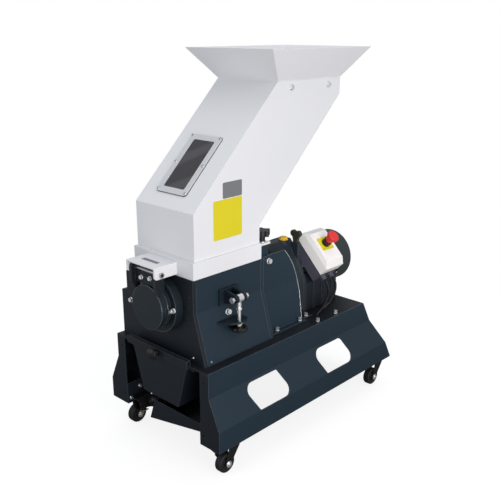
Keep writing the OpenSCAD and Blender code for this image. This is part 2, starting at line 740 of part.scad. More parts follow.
module motor_fan() {
    color(plastic_black) translate([0, 0, motor_z]) difference() {
        union() {
            rod_y(20, 366, 392);
            rod_y(66, 366, 368.5);
            for (turn = [0 : 45 : 315]) rotate([0, turn, 0]) block([14, 366, -1.2], [70, 390, 1.2]);
        }
        rod_y(12, 360, 400);
    }
}
module fan_cover() {
    color(paint_front) translate([0, 0, motor_z]) difference() {
        translate([0, fan_rear_y, 0]) rotate([90, 0, 0]) rotate_extrude() polygon(concat([[0, 0]],
            arc([fan_cover_r - 8, 8], 8, -90, 0, 6), [[fan_cover_r, 72], [fan_cover_r - 2, 72]],
            arc([fan_cover_r - 8, 8], 6, 0, -90, 6), [[0, 2]]));
        for (ring = [0 : 4]) for (turn = [0 : 60 : 300]) rotate([0, turn, 0]) difference() {
            intersection() {
                rod_y(28 + ring * 12, fan_rear_y - 5, fan_rear_y + 1);
                block([0, fan_rear_y - 6, -200], [200, fan_rear_y + 2, 200]);
                rotate([0, 54, 0]) block([-200, fan_rear_y - 6, -200], [0, fan_rear_y + 2, 200]);
            }
            rod_y(22 + ring * 12, fan_rear_y - 6, fan_rear_y + 2);
        }
        for (turn = [45 : 90 : 315]) rotate([0, turn, 0]) rod_x(2.5, fan_cover_r - 9, fan_cover_r + 2,
                fan_rear_y - 65, 0);
    }
    // Spacers that hold the cover off the motor's end shield
    color(paint_front) translate([0, 0, motor_z]) for (turn = [45 : 90 : 315]) rotate([0, turn, 0])
        rod_x(5, 80, fan_cover_r - 1, fan_rear_y - 64, 0);
}

// Hopper
collar_z = chamber_top_z + seat_gap;
collar_top_z = collar_z + collar_h;
collar_front_y = -375;
collar_rear_y = -105.7;
chute_front_y = -365;
chute_rear_y = -108.2;
front_knee_z = 753.1;
rear_knee_z = 675.7;
neck_front_y = -32.5;
neck_rear_y = 257.3;
rear_step_z = 1028.2;
chute_outline = [[chute_front_y, collar_top_z], [chute_rear_y, collar_top_z], [chute_rear_y, rear_knee_z],
    [neck_rear_y, rear_step_z], [neck_rear_y, neck_z], [neck_front_y, neck_z], [chute_front_y,
            front_knee_z]];
slope_len = norm([neck_front_y - chute_front_y, neck_z - front_knee_z]);
slope_angle = atan2(neck_z - front_knee_z, neck_front_y - chute_front_y);
sight_x = -6;
sight_low = 46;
sight_high = 250;
sight_border = 18;
// Places children on the front slope: X across, Y up the slope, Z out of it
module on_slope() {
    translate([0, chute_front_y, front_knee_z]) rotate([slope_angle, 0, 0]) children();
}
module sight_outline(border) {
    w = sight_w / 2 - border;
    r = 10 - border / 4;
    translate([sight_x, 0]) polygon(rounded([[-w, sight_low + border], [w, sight_low + border],
        [w, sight_high - border], [-w, sight_high - border]], [r, r, r, r]));
}
module hopper_chute() {
    t = hopper_t;
    hollow = inset(chute_outline, [-5, t, t, t, -5, t, t]);
    color(paint_white) difference() {
        along_x(-chute_half_w, chute_half_w) polygon(chute_outline);
        along_x(-chute_half_w + t, chute_half_w - t) polygon(hollow);
        on_slope() translate([0, 0, -10]) linear_extrude(height = 20) sight_outline(sight_border + 6);
    }
}
module hopper_collar() {
    inner_w = chute_half_w - hopper_t;
    color(paint_white) {
        difference() {
            block([-collar_half_w, collar_front_y, collar_z], [collar_half_w, collar_rear_y,
                    collar_top_z]);
            block([-inner_w, chute_front_y + hopper_t, collar_z - 1], [inner_w,
                    chute_rear_y - hopper_t, collar_top_z + 1]);
        }
        // Lugs that the lock knobs pull down
        both_sides() difference() {
            block([86, collar_rear_y, 609], [122, lock_y + 19, 615]);
            rod_z(4 + run_gap, 600, 620, 105, lock_y);
        }
    }
}
module funnel_solid(t) {
    drop = t > 0 ? 1 : 0;
    intersection() {
        along_x(-200, 200) polygon([[neck_front_y + t, neck_z - drop], [neck_rear_y - t, neck_z - drop],
            [neck_rear_y - t, neck_z], [rim_rear_y - t, rim_z], [rim_rear_y - t, rim_z + drop],
            [rim_front_y + t, rim_z + drop], [rim_front_y + t, rim_z], [neck_front_y + t, neck_z]]);
        along_y(-200, 400) polygon([[-chute_half_w + t, neck_z - drop], [chute_half_w - t, neck_z - drop],
            [chute_half_w - t, neck_z], [rim_half_w - t, rim_z], [rim_half_w - t, rim_z + drop],
            [-rim_half_w + t, rim_z + drop], [-rim_half_w + t, rim_z], [-chute_half_w + t, neck_z]]);
    }
}
module hopper_funnel() {
    color(paint_white) difference() {
        funnel_solid(0);
        funnel_solid(hopper_t + 0.6);
    }
}
module sight_frame() {
    color([0.8, 0.81, 0.83]) on_slope() difference() {
        linear_extrude(height = 4) sight_outline(0);
        translate([0, 0, -1]) linear_extrude(height = 6) sight_outline(sight_border);
    }
}
module sight_pane() {
    color([0.12, 0.12, 0.13, 0.6]) on_slope() linear_extrude(height = 3) sight_outline(sight_border + 0.2);
}
hood_half_w = 60.7;
hood_t = 5;
hood_front_y = -base_rear_y;
hood_top_z = 612;
module hinge_hood() {
    w = hood_half_w;
    front = hood_front_y;
    color(paint_white) difference() {
        along_x(-w, w) polygon(rounded([[collar_front_y, 577], [collar_front_y, hood_top_z], [front,
                hood_top_z],
            [front, 577]], [0, 0, 3, 9]));
        along_y(front - 1, collar_front_y + 1) polygon([[-w + hood_t, 570], [w - hood_t, 570],
            [w - hood_t, hood_top_z - hood_t], [-w + hood_t, hood_top_z - hood_t]]);
        rod_x(5 + run_gap, -w - 1, w + 1, pin_y, pin_z);
    }
}
module hinge_bracket() {
    w = hood_half_w - hood_t - 0.8;
    cheek_r = 18.6;
    color(paint_front) difference() {
        union() {
            for (side = [-1, 1]) translate([side * (w - 4), 0, 0]) along_x(-4, 4) polygon(concat(
                [[-418, pin_z], [-418, 537], [-426, 528], [-441, 528], [pin_y - cheek_r, 549]],
                arc([pin_y, pin_z], cheek_r, 180, 90, 8), [[-418, pin_z + cheek_r - 3]]));
            block([-w + 1, -436, 549], [w - 1, -430, pin_z + 6]);
            block([-30, -431, 563], [30, chamber_front_y, 571]);
        }
        rod_x(5 + run_gap, -w - 1, w + 1, pin_y, pin_z);
        rod_x(7, -w + 8, w - 8, pin_y, pin_z);
    }
}
module hinge_pin() {
    color(zinc) {
        rod_x(5, -hood_half_w - 0.4, hood_half_w + 0.4, pin_y, pin_z);
        both_sides() rod_x(7.5, hood_half_w + 0.4, hood_half_w + 4.5, pin_y, pin_z);
    }
}
lock_y = -80;
module lock_knob() {
    translate([105, lock_y, 0]) {
        color(zinc) {
            rod_z(4, 592, 636);
            rod_z(13, 615.3, 617.8);
        }
        color(plastic_black) {
            rod_z(10, 617.8, 637);
            translate([0, 0, 635]) linear_extrude(height = 17) union() {
                circle(r = 19);
                for (turn = [0 : 72 : 288]) rotate(turn) translate([19, 0]) circle(r = 7.5);
            }
        }
    }
}
module lock_knob_right() { lock_knob(); }
module lock_knob_left() { mirror([1, 0, 0]) lock_knob(); }

// Swing clamp on the right side wall
clamp_x = 172;
clamp_y = -246;
clamp_z = 500;
ear_z = 428;
function flare_x(z) = chamber_half_w + (chamber_bend_z - z) * chamber_flare;
module clamp_bracket() {
    color(paint_dark) {
        difference() {
            union() {
                block([chamber_half_w, clamp_y - 36, clamp_z - 26], [chamber_half_w + 6, clamp_y + 36,
                        clamp_z + 22]);
                for (y = [clamp_y - 20, clamp_y + 12]) along_y(y, y + 8) {
                    polygon([[chamber_half_w, clamp_z - 24], [clamp_x + 4, clamp_z - 12], [clamp_x + 4,
                            clamp_z + 12],
                        [chamber_half_w, clamp_z + 20]]);
                    translate([clamp_x, clamp_z]) circle(r = 12.5);
                }
            }
            rod_y(5 + run_gap, clamp_y - 40, clamp_y + 40, clamp_x, clamp_z);
        }
        // Slotted ear welded to the flared wall
        difference() {
            intersection() {
                translate([0, clamp_y, ear_z]) linear_extrude(height = 5) polygon(rounded([[130, -60],
                        [174, -34],
                    [186, -14], [186, 14], [174, 33], [130, 36]], [0, 8, 8, 8, 8, 0]));
                along_y(clamp_y - 70, clamp_y + 60) polygon([[flare_x(420), 420], [250, 420], [250, 440],
                    [flare_x(440), 440]]);
            }
            rod_z(7, ear_z - 1, ear_z + 6, clamp_x, clamp_y);
            block([clamp_x, clamp_y - 7, ear_z - 1], [clamp_x + 40, clamp_y + 7, ear_z + 6]);
        }
    }
    color(zinc) {
        rod_y(5, clamp_y - 27, clamp_y + 27, clamp_x, clamp_z);
        for (y = [clamp_y - 28, clamp_y + 28]) translate([clamp_x, y, clamp_z]) rotate([90, 0, 0])
            cylinder(r = 9, h = 6, center = true, $fn = 6);
    }
}
module swing_bolt() {
    color(zinc) {
        difference() {
            union() {
                rod_y(12, clamp_y - 9, clamp_y + 9, clamp_x, clamp_z);
                rod_z(6.5, clamp_z - 24, clamp_z - 8, clamp_x, clamp_y);
                rod_z(5, 398, clamp_z - 20, clamp_x, clamp_y);
            }
            rod_y(5 + run_gap, clamp_y - 10, clamp_y + 10, clamp_x, clamp_z);
        }
        rod_z(10, ear_z - 4.8, ear_z - 2.3, clamp_x, clamp_y);
        rod_z(7.5, 416.5, ear_z - 4.5, clamp_x, clamp_y);
        translate([clamp_x, clamp_y, 466]) cylinder(r = 9, h = 7, $fn = 6);
    }
}
module clamp_knob() {
    color(plastic_black) translate([clamp_x, clamp_y, 0]) difference() {
        union() {
            rod_z(9, 412, 416);
            translate([0, 0, 399]) linear_extrude(height = 15) union() {
                circle(r = 17.5);
                for (turn = [0 : 60 : 300]) rotate(turn) translate([17, 0]) circle(r = 4.6);
            }
        }
        rod_z(5 + run_gap, 390, 440);
    }
}

// Control box: X runs down its slope, Y along the machine, Z out of its lid
module control_frame() {
    translate([0, 0, motor_z]) rotate([0, box_tilt, 0]) children();
}
box_top = -50;
box_y = 151;
box_back = 86;
box_joint = 119;
lid_z = 169;
stop_x = 13;
stop_y = 197;
module control_box() {
    low = box_top + box_len;
    color([0.17, 0.17, 0.2]) control_frame() {
        block([box_top, box_y, box_back], [low, box_y + box_w, box_joint]);
        // Cable glands on the lower end
        for (y = gland_y) difference() {
            union() {
                rod_x(11, low, low + 5, y, gland_h);
                rod_x(8.5, low + 5, low + 16, y, gland_h);
            }
            rod_x(cable_r + 0.6, low + 4, low + 17, y, gland_h);
        }
    }
}
module control_lid() {
    low = box_top + box_len;
    color([0.9, 0.88, 0.86]) control_frame() difference() {
        intersection() {
            along_y(box_y, box_y + box_w) polygon([[box_top, box_joint], [box_top, 152], [box_top + 18,
                    lid_z],
                [low - 20, lid_z], [low, 150], [low, box_joint]]);
            along_x(box_top, low) polygon([[box_y, box_joint], [box_y + 1.5, 152], [box_y + 6, lid_z],
                [box_y + box_w - 6, lid_z], [box_y + box_w - 1.5, 152], [box_y + box_w, box_joint]]);
        }
        rod_z(11.5, 145, lid_z + 1, stop_x, stop_y);
    }
}
module stop_collar() {
    control_frame() {
        color([0.98, 0.83, 0.02]) difference() {
            block([stop_x - 23, stop_y - 27, lid_z], [stop_x + 23, stop_y + 27, lid_z + 1.5]);
            rod_z(13, lid_z - 1, lid_z + 3, stop_x, stop_y);
        }
        color(plastic_black) difference() {
            rod_z(14.5, lid_z, lid_z + 18, stop_x, stop_y);
            rod_z(11 + run_gap, lid_z - 1, lid_z + 20, stop_x, stop_y);
        }
    }
}
module stop_stem() {
    color([0.75, 0.1, 0.1]) control_frame() {
        rod_z(11, 155, lid_z + 24, stop_x, stop_y);
        rod_z(14, lid_z + 23.5, lid_z + 36, stop_x, stop_y);
        rod_z(6, lid_z + 35, lid_z + 44, stop_x, stop_y);
    }
}
module stop_head() {
    color([0.85, 0.15, 0.15]) control_frame() translate([stop_x, stop_y, 0]) difference() {
        translate([0, 0, lid_z + 36.3]) rotate_extrude() polygon(concat([[0, 0], [stop_head_d / 2 - 3,
                0]],
            arc([stop_head_d / 2 - 2.5, 2.5], 2.5, -90, 0, 4), arc([stop_head_d / 2 - 4, 9], 4, 0, 70,
                    4), [[0, 13.5]]));
        rod_z(6 + run_gap, lid_z + 36, lid_z + 45, 0, 0);
    }
}
gland_y = [172, 212];
gland_h = 107;
cable_r = 4;
// Routes from the glands down to the holes in the deck, in machine coordinates
cable_route_1 = [[148, 172, 447], [153, 172, 442], [158, 172, 437], [164, 173, 425], [168, 175, 404],
    [167, 172, 382], [164, 160, 358], [161, 140, 343], [159, 129, 335], [159, 127, 328], [159, 127, 322]];
cable_route_2 = [[148, 212, 447], [153, 212, 442], [158, 212, 437], [164, 214, 425], [168, 212, 404],
    [166, 203, 380], [160, 190, 358], [151, 178, 343], [145, 172, 335], [144, 171, 328], [144, 171, 322]];
// Rings of a tube round a route
function frame_side(d) = unit(cross(d, [0, 1, 0.02]));
function tube_ring(p, d, r, n) = let (s = frame_side(d), w = cross(d, s))
    [for (k = [0 : n - 1]) p + r * (s * cos(360 * k / n) + w * sin(360 * k / n))];
function spline(route, t) = let (m = len(route) - 1, i = min(floor(t), m - 1), f = t - i,
        a = route[max(i - 1, 0)], b = route[i], c = route[i + 1], d = route[min(i + 2, m)])
    0.5 * ((2 * b) + (c - a) * f + (2 * a - 5 * b + 4 * c - d) * f * f + (3 * b - a - 3 * c + d) * f * f * f);
module tube(route, r, rings, n) {
    last = len(route) - 1;
    points = [for (i = [0 : rings]) let (t = last * i / rings,
            d = unit(spline(route, min(t + 0.05, last)) - spline(route, max(t - 0.05, 0))))
        each tube_ring(spline(route, t), d, r, n)];
    sides = [for (i = [0 : rings - 1], k = [0 : n - 1]) each [
        [i * n + k, i * n + (k + 1) % n, (i + 1) * n + k],
        [i * n + (k + 1) % n, (i + 1) * n + (k + 1) % n, (i + 1) * n + k]]];
    ends = [[for (k = [n - 1 : -1 : 0]) k], [for (k = [0 : n - 1]) rings * n + k]];
    polyhedron(points, concat(sides, ends));
}
module control_cables() {
    color(plastic_black) {
        tube(cable_route_1, cable_r, 20, 8);
        tube(cable_route_2, cable_r, 20, 8);
    }
}

// Fasteners
module hex_head(r, h) {
    rotate([0, 0, 90]) cylinder(r = r, h = h, $fn = 6);
}
module deck_bolts() {
    spots = [[148.5, -54.7, 5], [148.5, 54.4, 5], [138.2, 97.5, 5], [186.4, 97.7, 0], [186.9, 190.3, 0]];
    color(zinc) both_sides() for (s = spots) translate([s[0], s[1], deck_z + s[2]]) {
        cylinder(r = 7, h = 1.5);
        translate([0, 0, 1.5]) hex_head(6, 9);
    }
}
module bolt_head_y(x, y, z, r, h) {
    translate([x, y, z]) rotate([90, 0, 0]) {
        cylinder(r = r * 1.15, h = 1.5);
        translate([0, 0, 1.5]) hex_head(r, h);
    }
}
module bolt_head_x(x, y, z, r, h) {
    translate([x, y, z]) rotate([0, 90, 0]) {
        cylinder(r = r * 1.15, h = 1.5);
        translate([0, 0, 1.5]) hex_head(r, h);
    }
}
module housing_bolts() {
    color(zinc) {
        for (turn = [0, 180, 270]) translate([0, 0, rotor_z]) rotate([0, turn, 0]) {
            bolt_head_y(73, flange_front_y, 0, 7.4, 9);
            rod_y(5, flange_front_y - 17, flange_front_y, 73);
        }
        for (x_z = [[-19, 565], [19, 569.5]]) bolt_head_y(x_z[0], -436, x_z[1], 6, 5);
        for (x_z = [[110.9, 522.3], [109.7, 490.4], [104.9, 460.6]])
            rod_y(2.5, chamber_front_y - 2.5, chamber_front_y, x_z[0], x_z[1]);
        bolt_head_y(-151, chamber_front_y, 446, 7, 6);
        both_sides() for (y_z = [[-352, 145], [-387, 116]])
            mirror([1, 0, 0]) bolt_head_x(-return_x + skirt_t, y_z[0], y_z[1], 5, 5);
        both_sides() bolt_head_x(chamber_half_w, -71, 557, 8, 7);
        translate([flare_x(449), clamp_y - 6, 449]) rotate([0, -atan(chamber_flare), 0]) bolt_head_x(0,
                0, 0, 8, 8);
    }
}

base_deck();
skirt_left();
skirt_right();
rear_panel();
suction_box();
suction_elbow();
bin_shell();
bin_knob();
castor_plates();
castor_fork_fl();
castor_fork_fr();
castor_fork_rl();
castor_fork_rr();
castor_wheel_fl();
castor_wheel_fr();
castor_wheel_rl();
castor_wheel_rr();
brake_pedal_fl();
brake_pedal_fr();
front_plate();
rear_plate();
side_wall_right();
side_wall_left();
fixed_knives();
rotor_shaft();
claw_rotor();
chamber_bearings();
bearing_housing();
bearing_cap();
drive_guards();
gear_case();
output_gear();
idler_gear();
motor_shaft();
oil_plug();
motor_housing();
motor_fan();
fan_cover();
lifting_lug();
hopper_chute();
hopper_collar();
hopper_funnel();
sight_frame();
sight_pane();
hinge_hood();
hinge_bracket();
hinge_pin();
lock_knob_left();
lock_knob_right();
clamp_bracket();
swing_bolt();
clamp_knob();
control_box();
control_lid();
stop_collar();
stop_stem();
stop_head();
control_cables();
deck_bolts();
housing_bolts();
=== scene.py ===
# %% [markdown]
# A plastic granulator, dressed for its portrait. The solids come from the CAD model and stay as they are:
# this script gives them surfaces, adds the small fittings that only matter to the eye, and lights them.
# Lengths are metres. Seen from the bin end, X points right, Y runs to the motor end and Z points up. The
# floor is Z = 0.

import json
import math

import bmesh
import bpy
from mathutils import Matrix, Vector


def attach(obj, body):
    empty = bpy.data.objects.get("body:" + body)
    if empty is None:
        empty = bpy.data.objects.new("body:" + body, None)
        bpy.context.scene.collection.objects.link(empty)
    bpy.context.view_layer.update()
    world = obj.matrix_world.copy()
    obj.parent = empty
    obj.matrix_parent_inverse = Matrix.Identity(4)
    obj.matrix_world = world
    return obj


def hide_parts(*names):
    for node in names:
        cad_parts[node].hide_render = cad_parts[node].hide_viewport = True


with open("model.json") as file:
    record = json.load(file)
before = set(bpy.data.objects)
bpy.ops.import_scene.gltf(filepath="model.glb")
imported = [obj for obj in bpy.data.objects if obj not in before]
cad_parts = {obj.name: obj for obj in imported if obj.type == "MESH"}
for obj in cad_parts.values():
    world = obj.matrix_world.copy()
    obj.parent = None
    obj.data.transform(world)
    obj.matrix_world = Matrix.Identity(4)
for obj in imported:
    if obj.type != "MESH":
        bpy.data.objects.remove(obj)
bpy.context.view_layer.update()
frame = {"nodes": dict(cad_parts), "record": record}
nodes = frame["nodes"]
slot_of = {part["node"]: part["material_slot"] for part in frame["record"]["subparts"]}
print(len(nodes), "solids loaded")

# %% [markdown]
# The camera stands where the photograph was taken from: a little above the hopper's collar and 43 degrees
# round to the right of the bin end. A guess by eye would be off by whole parts, so place, tilt and lens come
# from a fit of the machine's straight edges to the photograph.

# %% camera
CAMERA_AT = (1.4707, -1.5753, 1.2196)
CAMERA_TILT = math.radians(72.7)
CAMERA_TURN = math.radians(43.4)
LENS_MM = 51.08
SENSOR_MM = 36.0
scene = bpy.context.scene
camera_data = bpy.data.cameras.new("camera")
camera_data.lens = LENS_MM
camera_data.sensor_width = SENSOR_MM
camera_data.clip_start = 0.05
camera = bpy.data.objects.new("camera", camera_data)
camera.location = CAMERA_AT
camera.rotation_euler = (CAMERA_TILT, 0.0, CAMERA_TURN)
scene.collection.objects.link(camera)
scene.camera = camera
scene.view_settings.view_transform = "Standard"
print("camera at", tuple(round(v, 3) for v in camera.location))

# %% [markdown]
# The machine is lit as in a product studio, by four large soft lamps. One sun lamp would be simpler, but it
# would draw hard shadows that a white sweep doesn't have. The key lamp stands to the right, so the hopper's
# side is brighter than its front. The low lamp lifts the underside of the flared mouth.

# %% studio lamps
KEY_POWER = 32.0
FILL_POWER = 25.0
TOP_POWER = 30.0
LOW_POWER = 27.0
COOL_TINT = (0.93, 0.96, 1.0)
WARM_TINT = (1.0, 0.94, 0.925)
PLAIN_TINT = (1.0, 1.0, 1.0)


def hang_lamp(lamp, place, target):
    holder = bpy.data.objects.new(lamp.name, lamp)
    holder.location = place
    aim = Vector(target) - Vector(place)
    holder.rotation_euler = aim.to_track_quat("-Z", "Y").to_euler()
    scene.collection.objects.link(holder)


def area_lamp(name, place, target, size, power, tint):
    lamp = bpy.data.lights.new(name, "AREA")
    lamp.shape = "RECTANGLE"
    lamp.size = size[0]
    lamp.size_y = size[1]
    lamp.energy = power
    lamp.color = tint
    hang_lamp(lamp, place, target)


area_lamp("key_lamp", (3.0, -0.6, 2.2), (0.0, 0.0, 0.6), (1.8, 2.4), KEY_POWER, PLAIN_TINT)
area_lamp("fill_lamp", (-1.2, -3.4, 1.9), (0.0, 0.0, 0.5), (2.2, 2.2), FILL_POWER, COOL_TINT)
area_lamp("low_lamp", (2.3, -1.0, 0.35), (0.1, 0.0, 1.1), (1.6, 0.7), LOW_POWER, WARM_TINT)
area_lamp("top_lamp", (0.2, 0.3, 3.4), (0.0, 0.0, 0.6), (2.6, 2.6), TOP_POWER, PLAIN_TINT)
print("four soft lamps hung")

# %% [markdown]
# The white lid of the control box sits in the shade of the chute and the gear case. A brighter key lamp
# would burn out the hopper first, so a narrow spot lamp beside the camera lights the lid alone.

# %% spot lamp on the control box
BOX_POWER = 95.0
BOX_LAMP_AT = (1.7, -1.9, 1.1)
BOX_CONE = math.radians(9.0)
lid = nodes["control_lid"]
lid_middle = lid.matrix_world @ (sum((Vector(c) for c in lid.bound_box), Vector()) / 8.0)
box_lamp = bpy.data.lights.new("box_lamp", "SPOT")
box_lamp.energy = BOX_POWER
box_lamp.spot_size = BOX_CONE
box_lamp.spot_blend = 0.7
box_lamp.shadow_soft_size = 0.12
hang_lamp(box_lamp, BOX_LAMP_AT, lid_middle)
print("spot lamp aimed at", tuple(round(v, 3) for v in lid_middle))

# %% [markdown]
# The surround has two jobs: the lens has to see pure white, and the machine must not be flooded by it. One
# background strength can't do both, so a Light Path node gives the camera a white ground and gives every
# other ray a dimmer, slightly cool light.

# %% white surround
SURROUND = 0.52
world = bpy.data.worlds.new("studio")
scene.world = world
world.use_nodes = True
tree = world.node_tree
tree.nodes.clear()
seen = tree.nodes.new("ShaderNodeBackground")
seen.inputs["Color"].default_value = (1.0, 1.0, 1.0, 1.0)
seen.inputs["Strength"].default_value = 1.0
lit = tree.nodes.new("ShaderNodeBackground")
lit.inputs["Color"].default_value = (0.95, 0.97, 1.0, 1.0)
lit.inputs["Strength"].default_value = SURROUND
path = tree.nodes.new("ShaderNodeLightPath")
pick = tree.nodes.new("ShaderNodeMixShader")
world_out = tree.nodes.new("ShaderNodeOutputWorld")
tree.links.new(path.outputs["Is Camera Ray"], pick.inputs[0])
tree.links.new(lit.outputs[0], pick.inputs[1])
tree.links.new(seen.outputs[0], pick.inputs[2])
tree.links.new(pick.outputs[0], world_out.inputs["Surface"])

# %% [markdown]
# Painted sheet is never one flat colour, and its folds catch the lamps as a paler line. Here that line is a
# painted highlight: the edge's colour is made paler, not lit. Painting it by hand needs a map for each part.
# A Bevel node finds the edges instead: where its rounded normal leaves the face's own normal, the colour
# moves to the highlight colour.

# %% painted edge highlights
MIX_A = 6
MIX_B = 7
MIX_RESULT = 2
HIGHLIGHT_STARTS = 0.985
HIGHLIGHT_FULL = 0.86


def painted_edge_highlight(tree, rounded, plain_color, edge_highlight, edge_highlight_color):
    flat = tree.nodes.new("ShaderNodeNewGeometry")
    bend = tree.nodes.new("ShaderNodeVectorMath")
    bend.operation = "DOT_PRODUCT"
    tree.links.new(rounded.outputs["Normal"], bend.inputs[0])
    tree.links.new(flat.outputs["Normal"], bend.inputs[1])
    ridge = tree.nodes.new("ShaderNodeMapRange")
    ridge.inputs["From Min"].default_value = HIGHLIGHT_STARTS
    ridge.inputs["From Max"].default_value = HIGHLIGHT_FULL
    ridge.inputs["To Max"].default_value = edge_highlight
    tree.links.new(bend.outputs["Value"], ridge.inputs["Value"])
    highlight_mix = tree.nodes.new("ShaderNodeMix")
    highlight_mix.data_type = "RGBA"
    highlight_mix.inputs[MIX_B].default_value = edge_highlight_color + (1.0,)
    tree.links.new(ridge.outputs["Result"], highlight_mix.inputs[0])
    tree.links.new(plain_color, highlight_mix.inputs[MIX_A])
    return highlight_mix.outputs[MIX_RESULT]


print("edge wear ready")

# %% [markdown]
# Every finish on the machine follows one recipe: a base colour that drifts a little over the part, a fine
# grain that lifts the normal and changes the polish, and edges that are rounded for the light alone. Separate
# node trees could do it too, but with one recipe the finishes differ only in numbers, and stay related. All
# patterns read Object coordinates, so they stay on the part when it moves.

# %% surface recipe
DRIFT_SCALE = 9.0
POLISH_SPREAD = 0.05
GRAIN_DEPTH = 0.0004
EDGE_SAMPLES = 6
surfaces = {}


def noise(tree, vector, scale, detail):
    made = tree.nodes.new("ShaderNodeTexNoise")
    made.inputs["Scale"].default_value = scale
    made.inputs["Detail"].default_value = detail
    tree.links.new(vector, made.inputs["Vector"])
    return made.outputs["Fac"]


def surface(name, color, rough, metallic=0.0, drift=0.06, grain=900.0, lift=0.12, edge=0.0009,
            coat=0.0, streak=(1.0, 1.0, 1.0), shine=0.3, edge_highlight=0.0, edge_highlight_color=(0.16, 0.18, 0.2)):
    material = bpy.data.materials.new(name)
    material.use_nodes = True
    tree = material.node_tree
    shader = tree.nodes["Principled BSDF"]
    place = tree.nodes.new("ShaderNodeTexCoord")
    stretch = tree.nodes.new("ShaderNodeMapping")
    stretch.inputs["Scale"].default_value = streak
    tree.links.new(place.outputs["Object"], stretch.inputs["Vector"])
    fine = noise(tree, stretch.outputs["Vector"], grain, 3.0)
    broad = noise(tree, place.outputs["Object"], DRIFT_SCALE, 4.0)
    mixed = tree.nodes.new("ShaderNodeMix")
    mixed.data_type = "RGBA"
    mixed.inputs[MIX_A].default_value = tuple(c * (1.0 - drift) for c in color) + (1.0,)
    mixed.inputs[MIX_B].default_value = tuple(min(c * (1.0 + drift), 1.0) for c in color) + (1.0,)
    tree.links.new(broad, mixed.inputs[0])
    rounded = tree.nodes.new("ShaderNodeBevel")
    rounded.samples = EDGE_SAMPLES
    rounded.inputs["Radius"].default_value = edge
    shown = mixed.outputs[MIX_RESULT]
    # Painted highlight: where the edge highlight amount is above zero, the edges' colour moves to a paler
    # one.
    if edge_highlight > 0.0:
        shown = painted_edge_highlight(tree, rounded, shown, edge_highlight, edge_highlight_color)
    tree.links.new(shown, shader.inputs["Base Color"])
    polish = tree.nodes.new("ShaderNodeMapRange")
    polish.inputs["To Min"].default_value = max(rough - POLISH_SPREAD, 0.02)
    polish.inputs["To Max"].default_value = min(rough + POLISH_SPREAD, 1.0)
    tree.links.new(fine, polish.inputs["Value"])
    tree.links.new(polish.outputs["Result"], shader.inputs["Roughness"])
    shader.inputs["Metallic"].default_value = metallic
    shader.inputs["Coat Weight"].default_value = coat
    shader.inputs["Specular IOR Level"].default_value = shine
    bump = tree.nodes.new("ShaderNodeBump")
    bump.inputs["Strength"].default_value = lift
    bump.inputs["Distance"].default_value = GRAIN_DEPTH
    tree.links.new(fine, bump.inputs["Height"])
    tree.links.new(rounded.outputs["Normal"], bump.inputs["Normal"])
    tree.links.new(bump.outputs["Normal"], shader.inputs["Normal"])
    surfaces[name] = material


print("surface recipe ready")

# %% [markdown]
# The sheet parts are powder coated. The coat's orange peel is a fine grain with a lift of about a third. The
# skirts and walls are blue black. The faces that look to the bin end take a copy of that coat nearer to
# black, which is painted shade, and the deck a darker copy still, also painted shade. The cast gear case is
# duller and more uneven than sheet. The edges of most coats carry a painted highlight.

# %% paints
surface("dark_powder_coat", (0.0088, 0.0215, 0.0345), 0.50, grain=1400.0, lift=0.35, edge=0.0014, edge_highlight=0.8)
# The dark coat made nearer to black: painted shade for the faces that look to the bin end.
surface("front_powder_coat", (0.0068, 0.0106, 0.0160), 0.48, grain=1400.0, lift=0.35, edge=0.0014, edge_highlight=0.7,
        edge_highlight_color=(0.11, 0.125, 0.14))
# The deck's coat: the dark coat made darker, as painted shade.
surface("shaded_deck_coat", (0.0046, 0.0074, 0.0112), 0.5, grain=1400.0, lift=0.35, edge=0.0014, edge_highlight=0.6,
        edge_highlight_color=(0.09, 0.1, 0.11))
surface("clamp_coat", (0.0066, 0.0135, 0.0205), 0.5, grain=1400.0, lift=0.3, edge=0.001)
surface("white_powder_coat", (0.715, 0.725, 0.748), 0.34, drift=0.012, grain=500.0, lift=0.05, edge=0.0026,
        edge_highlight=0.75, edge_highlight_color=(0.95, 0.95, 0.95))
surface("cast_case", (0.0125, 0.0195, 0.0255), 0.5, drift=0.12, grain=420.0, lift=0.5, edge=0.0018, edge_highlight=0.25)
surface("cap_paint", (0.0080, 0.0150, 0.0205), 0.44, grain=1400.0, lift=0.3, edge=0.0016, edge_highlight=0.6)
surface("fan_cover_paint", (0.022, 0.030, 0.031), 0.42, grain=900.0, lift=0.15, edge=0.0012)
surface("gloss_edge", (0.030, 0.038, 0.045), 0.2, grain=600.0, lift=0.05, edge=0.0004, shine=0.9, coat=0.5)
print(len(surfaces), "paints made")

# %% [markdown]
# Bolts are zinc plated, the knives and shafts are bare steel, and the brake pedals have a yellow plating.
# Machined steel has its grain stretched along one axis, which is what a lathe or a mill leaves.

# %% metals
surface("bright_zinc", (0.90, 0.91, 0.92), 0.22, metallic=0.85, grain=700.0, lift=0.1, edge=0.0006, shine=0.6)
surface("yellow_zinc", (0.55, 0.42, 0.22), 0.32, metallic=1.0, drift=0.2, grain=260.0, lift=0.1, edge=0.0006)
surface("machined_steel", (0.50, 0.51, 0.53), 0.3, metallic=1.0, grain=400.0, lift=0.2, edge=0.0006,
        streak=(6.0, 1.0, 6.0))
surface("sight_frame_aluminium", (0.76, 0.77, 0.80), 0.36, metallic=0.6, grain=300.0, lift=0.15,
        edge=0.0008, streak=(1.0, 8.0, 8.0), shine=0.6)
print(len(surfaces), "finishes so far")

# %% [markdown]
# Moulded parts have soft edges and an even colour, and the rubber is rougher than the plastics. The plates on
# the chute are thin coloured sheet with hardly any grain.

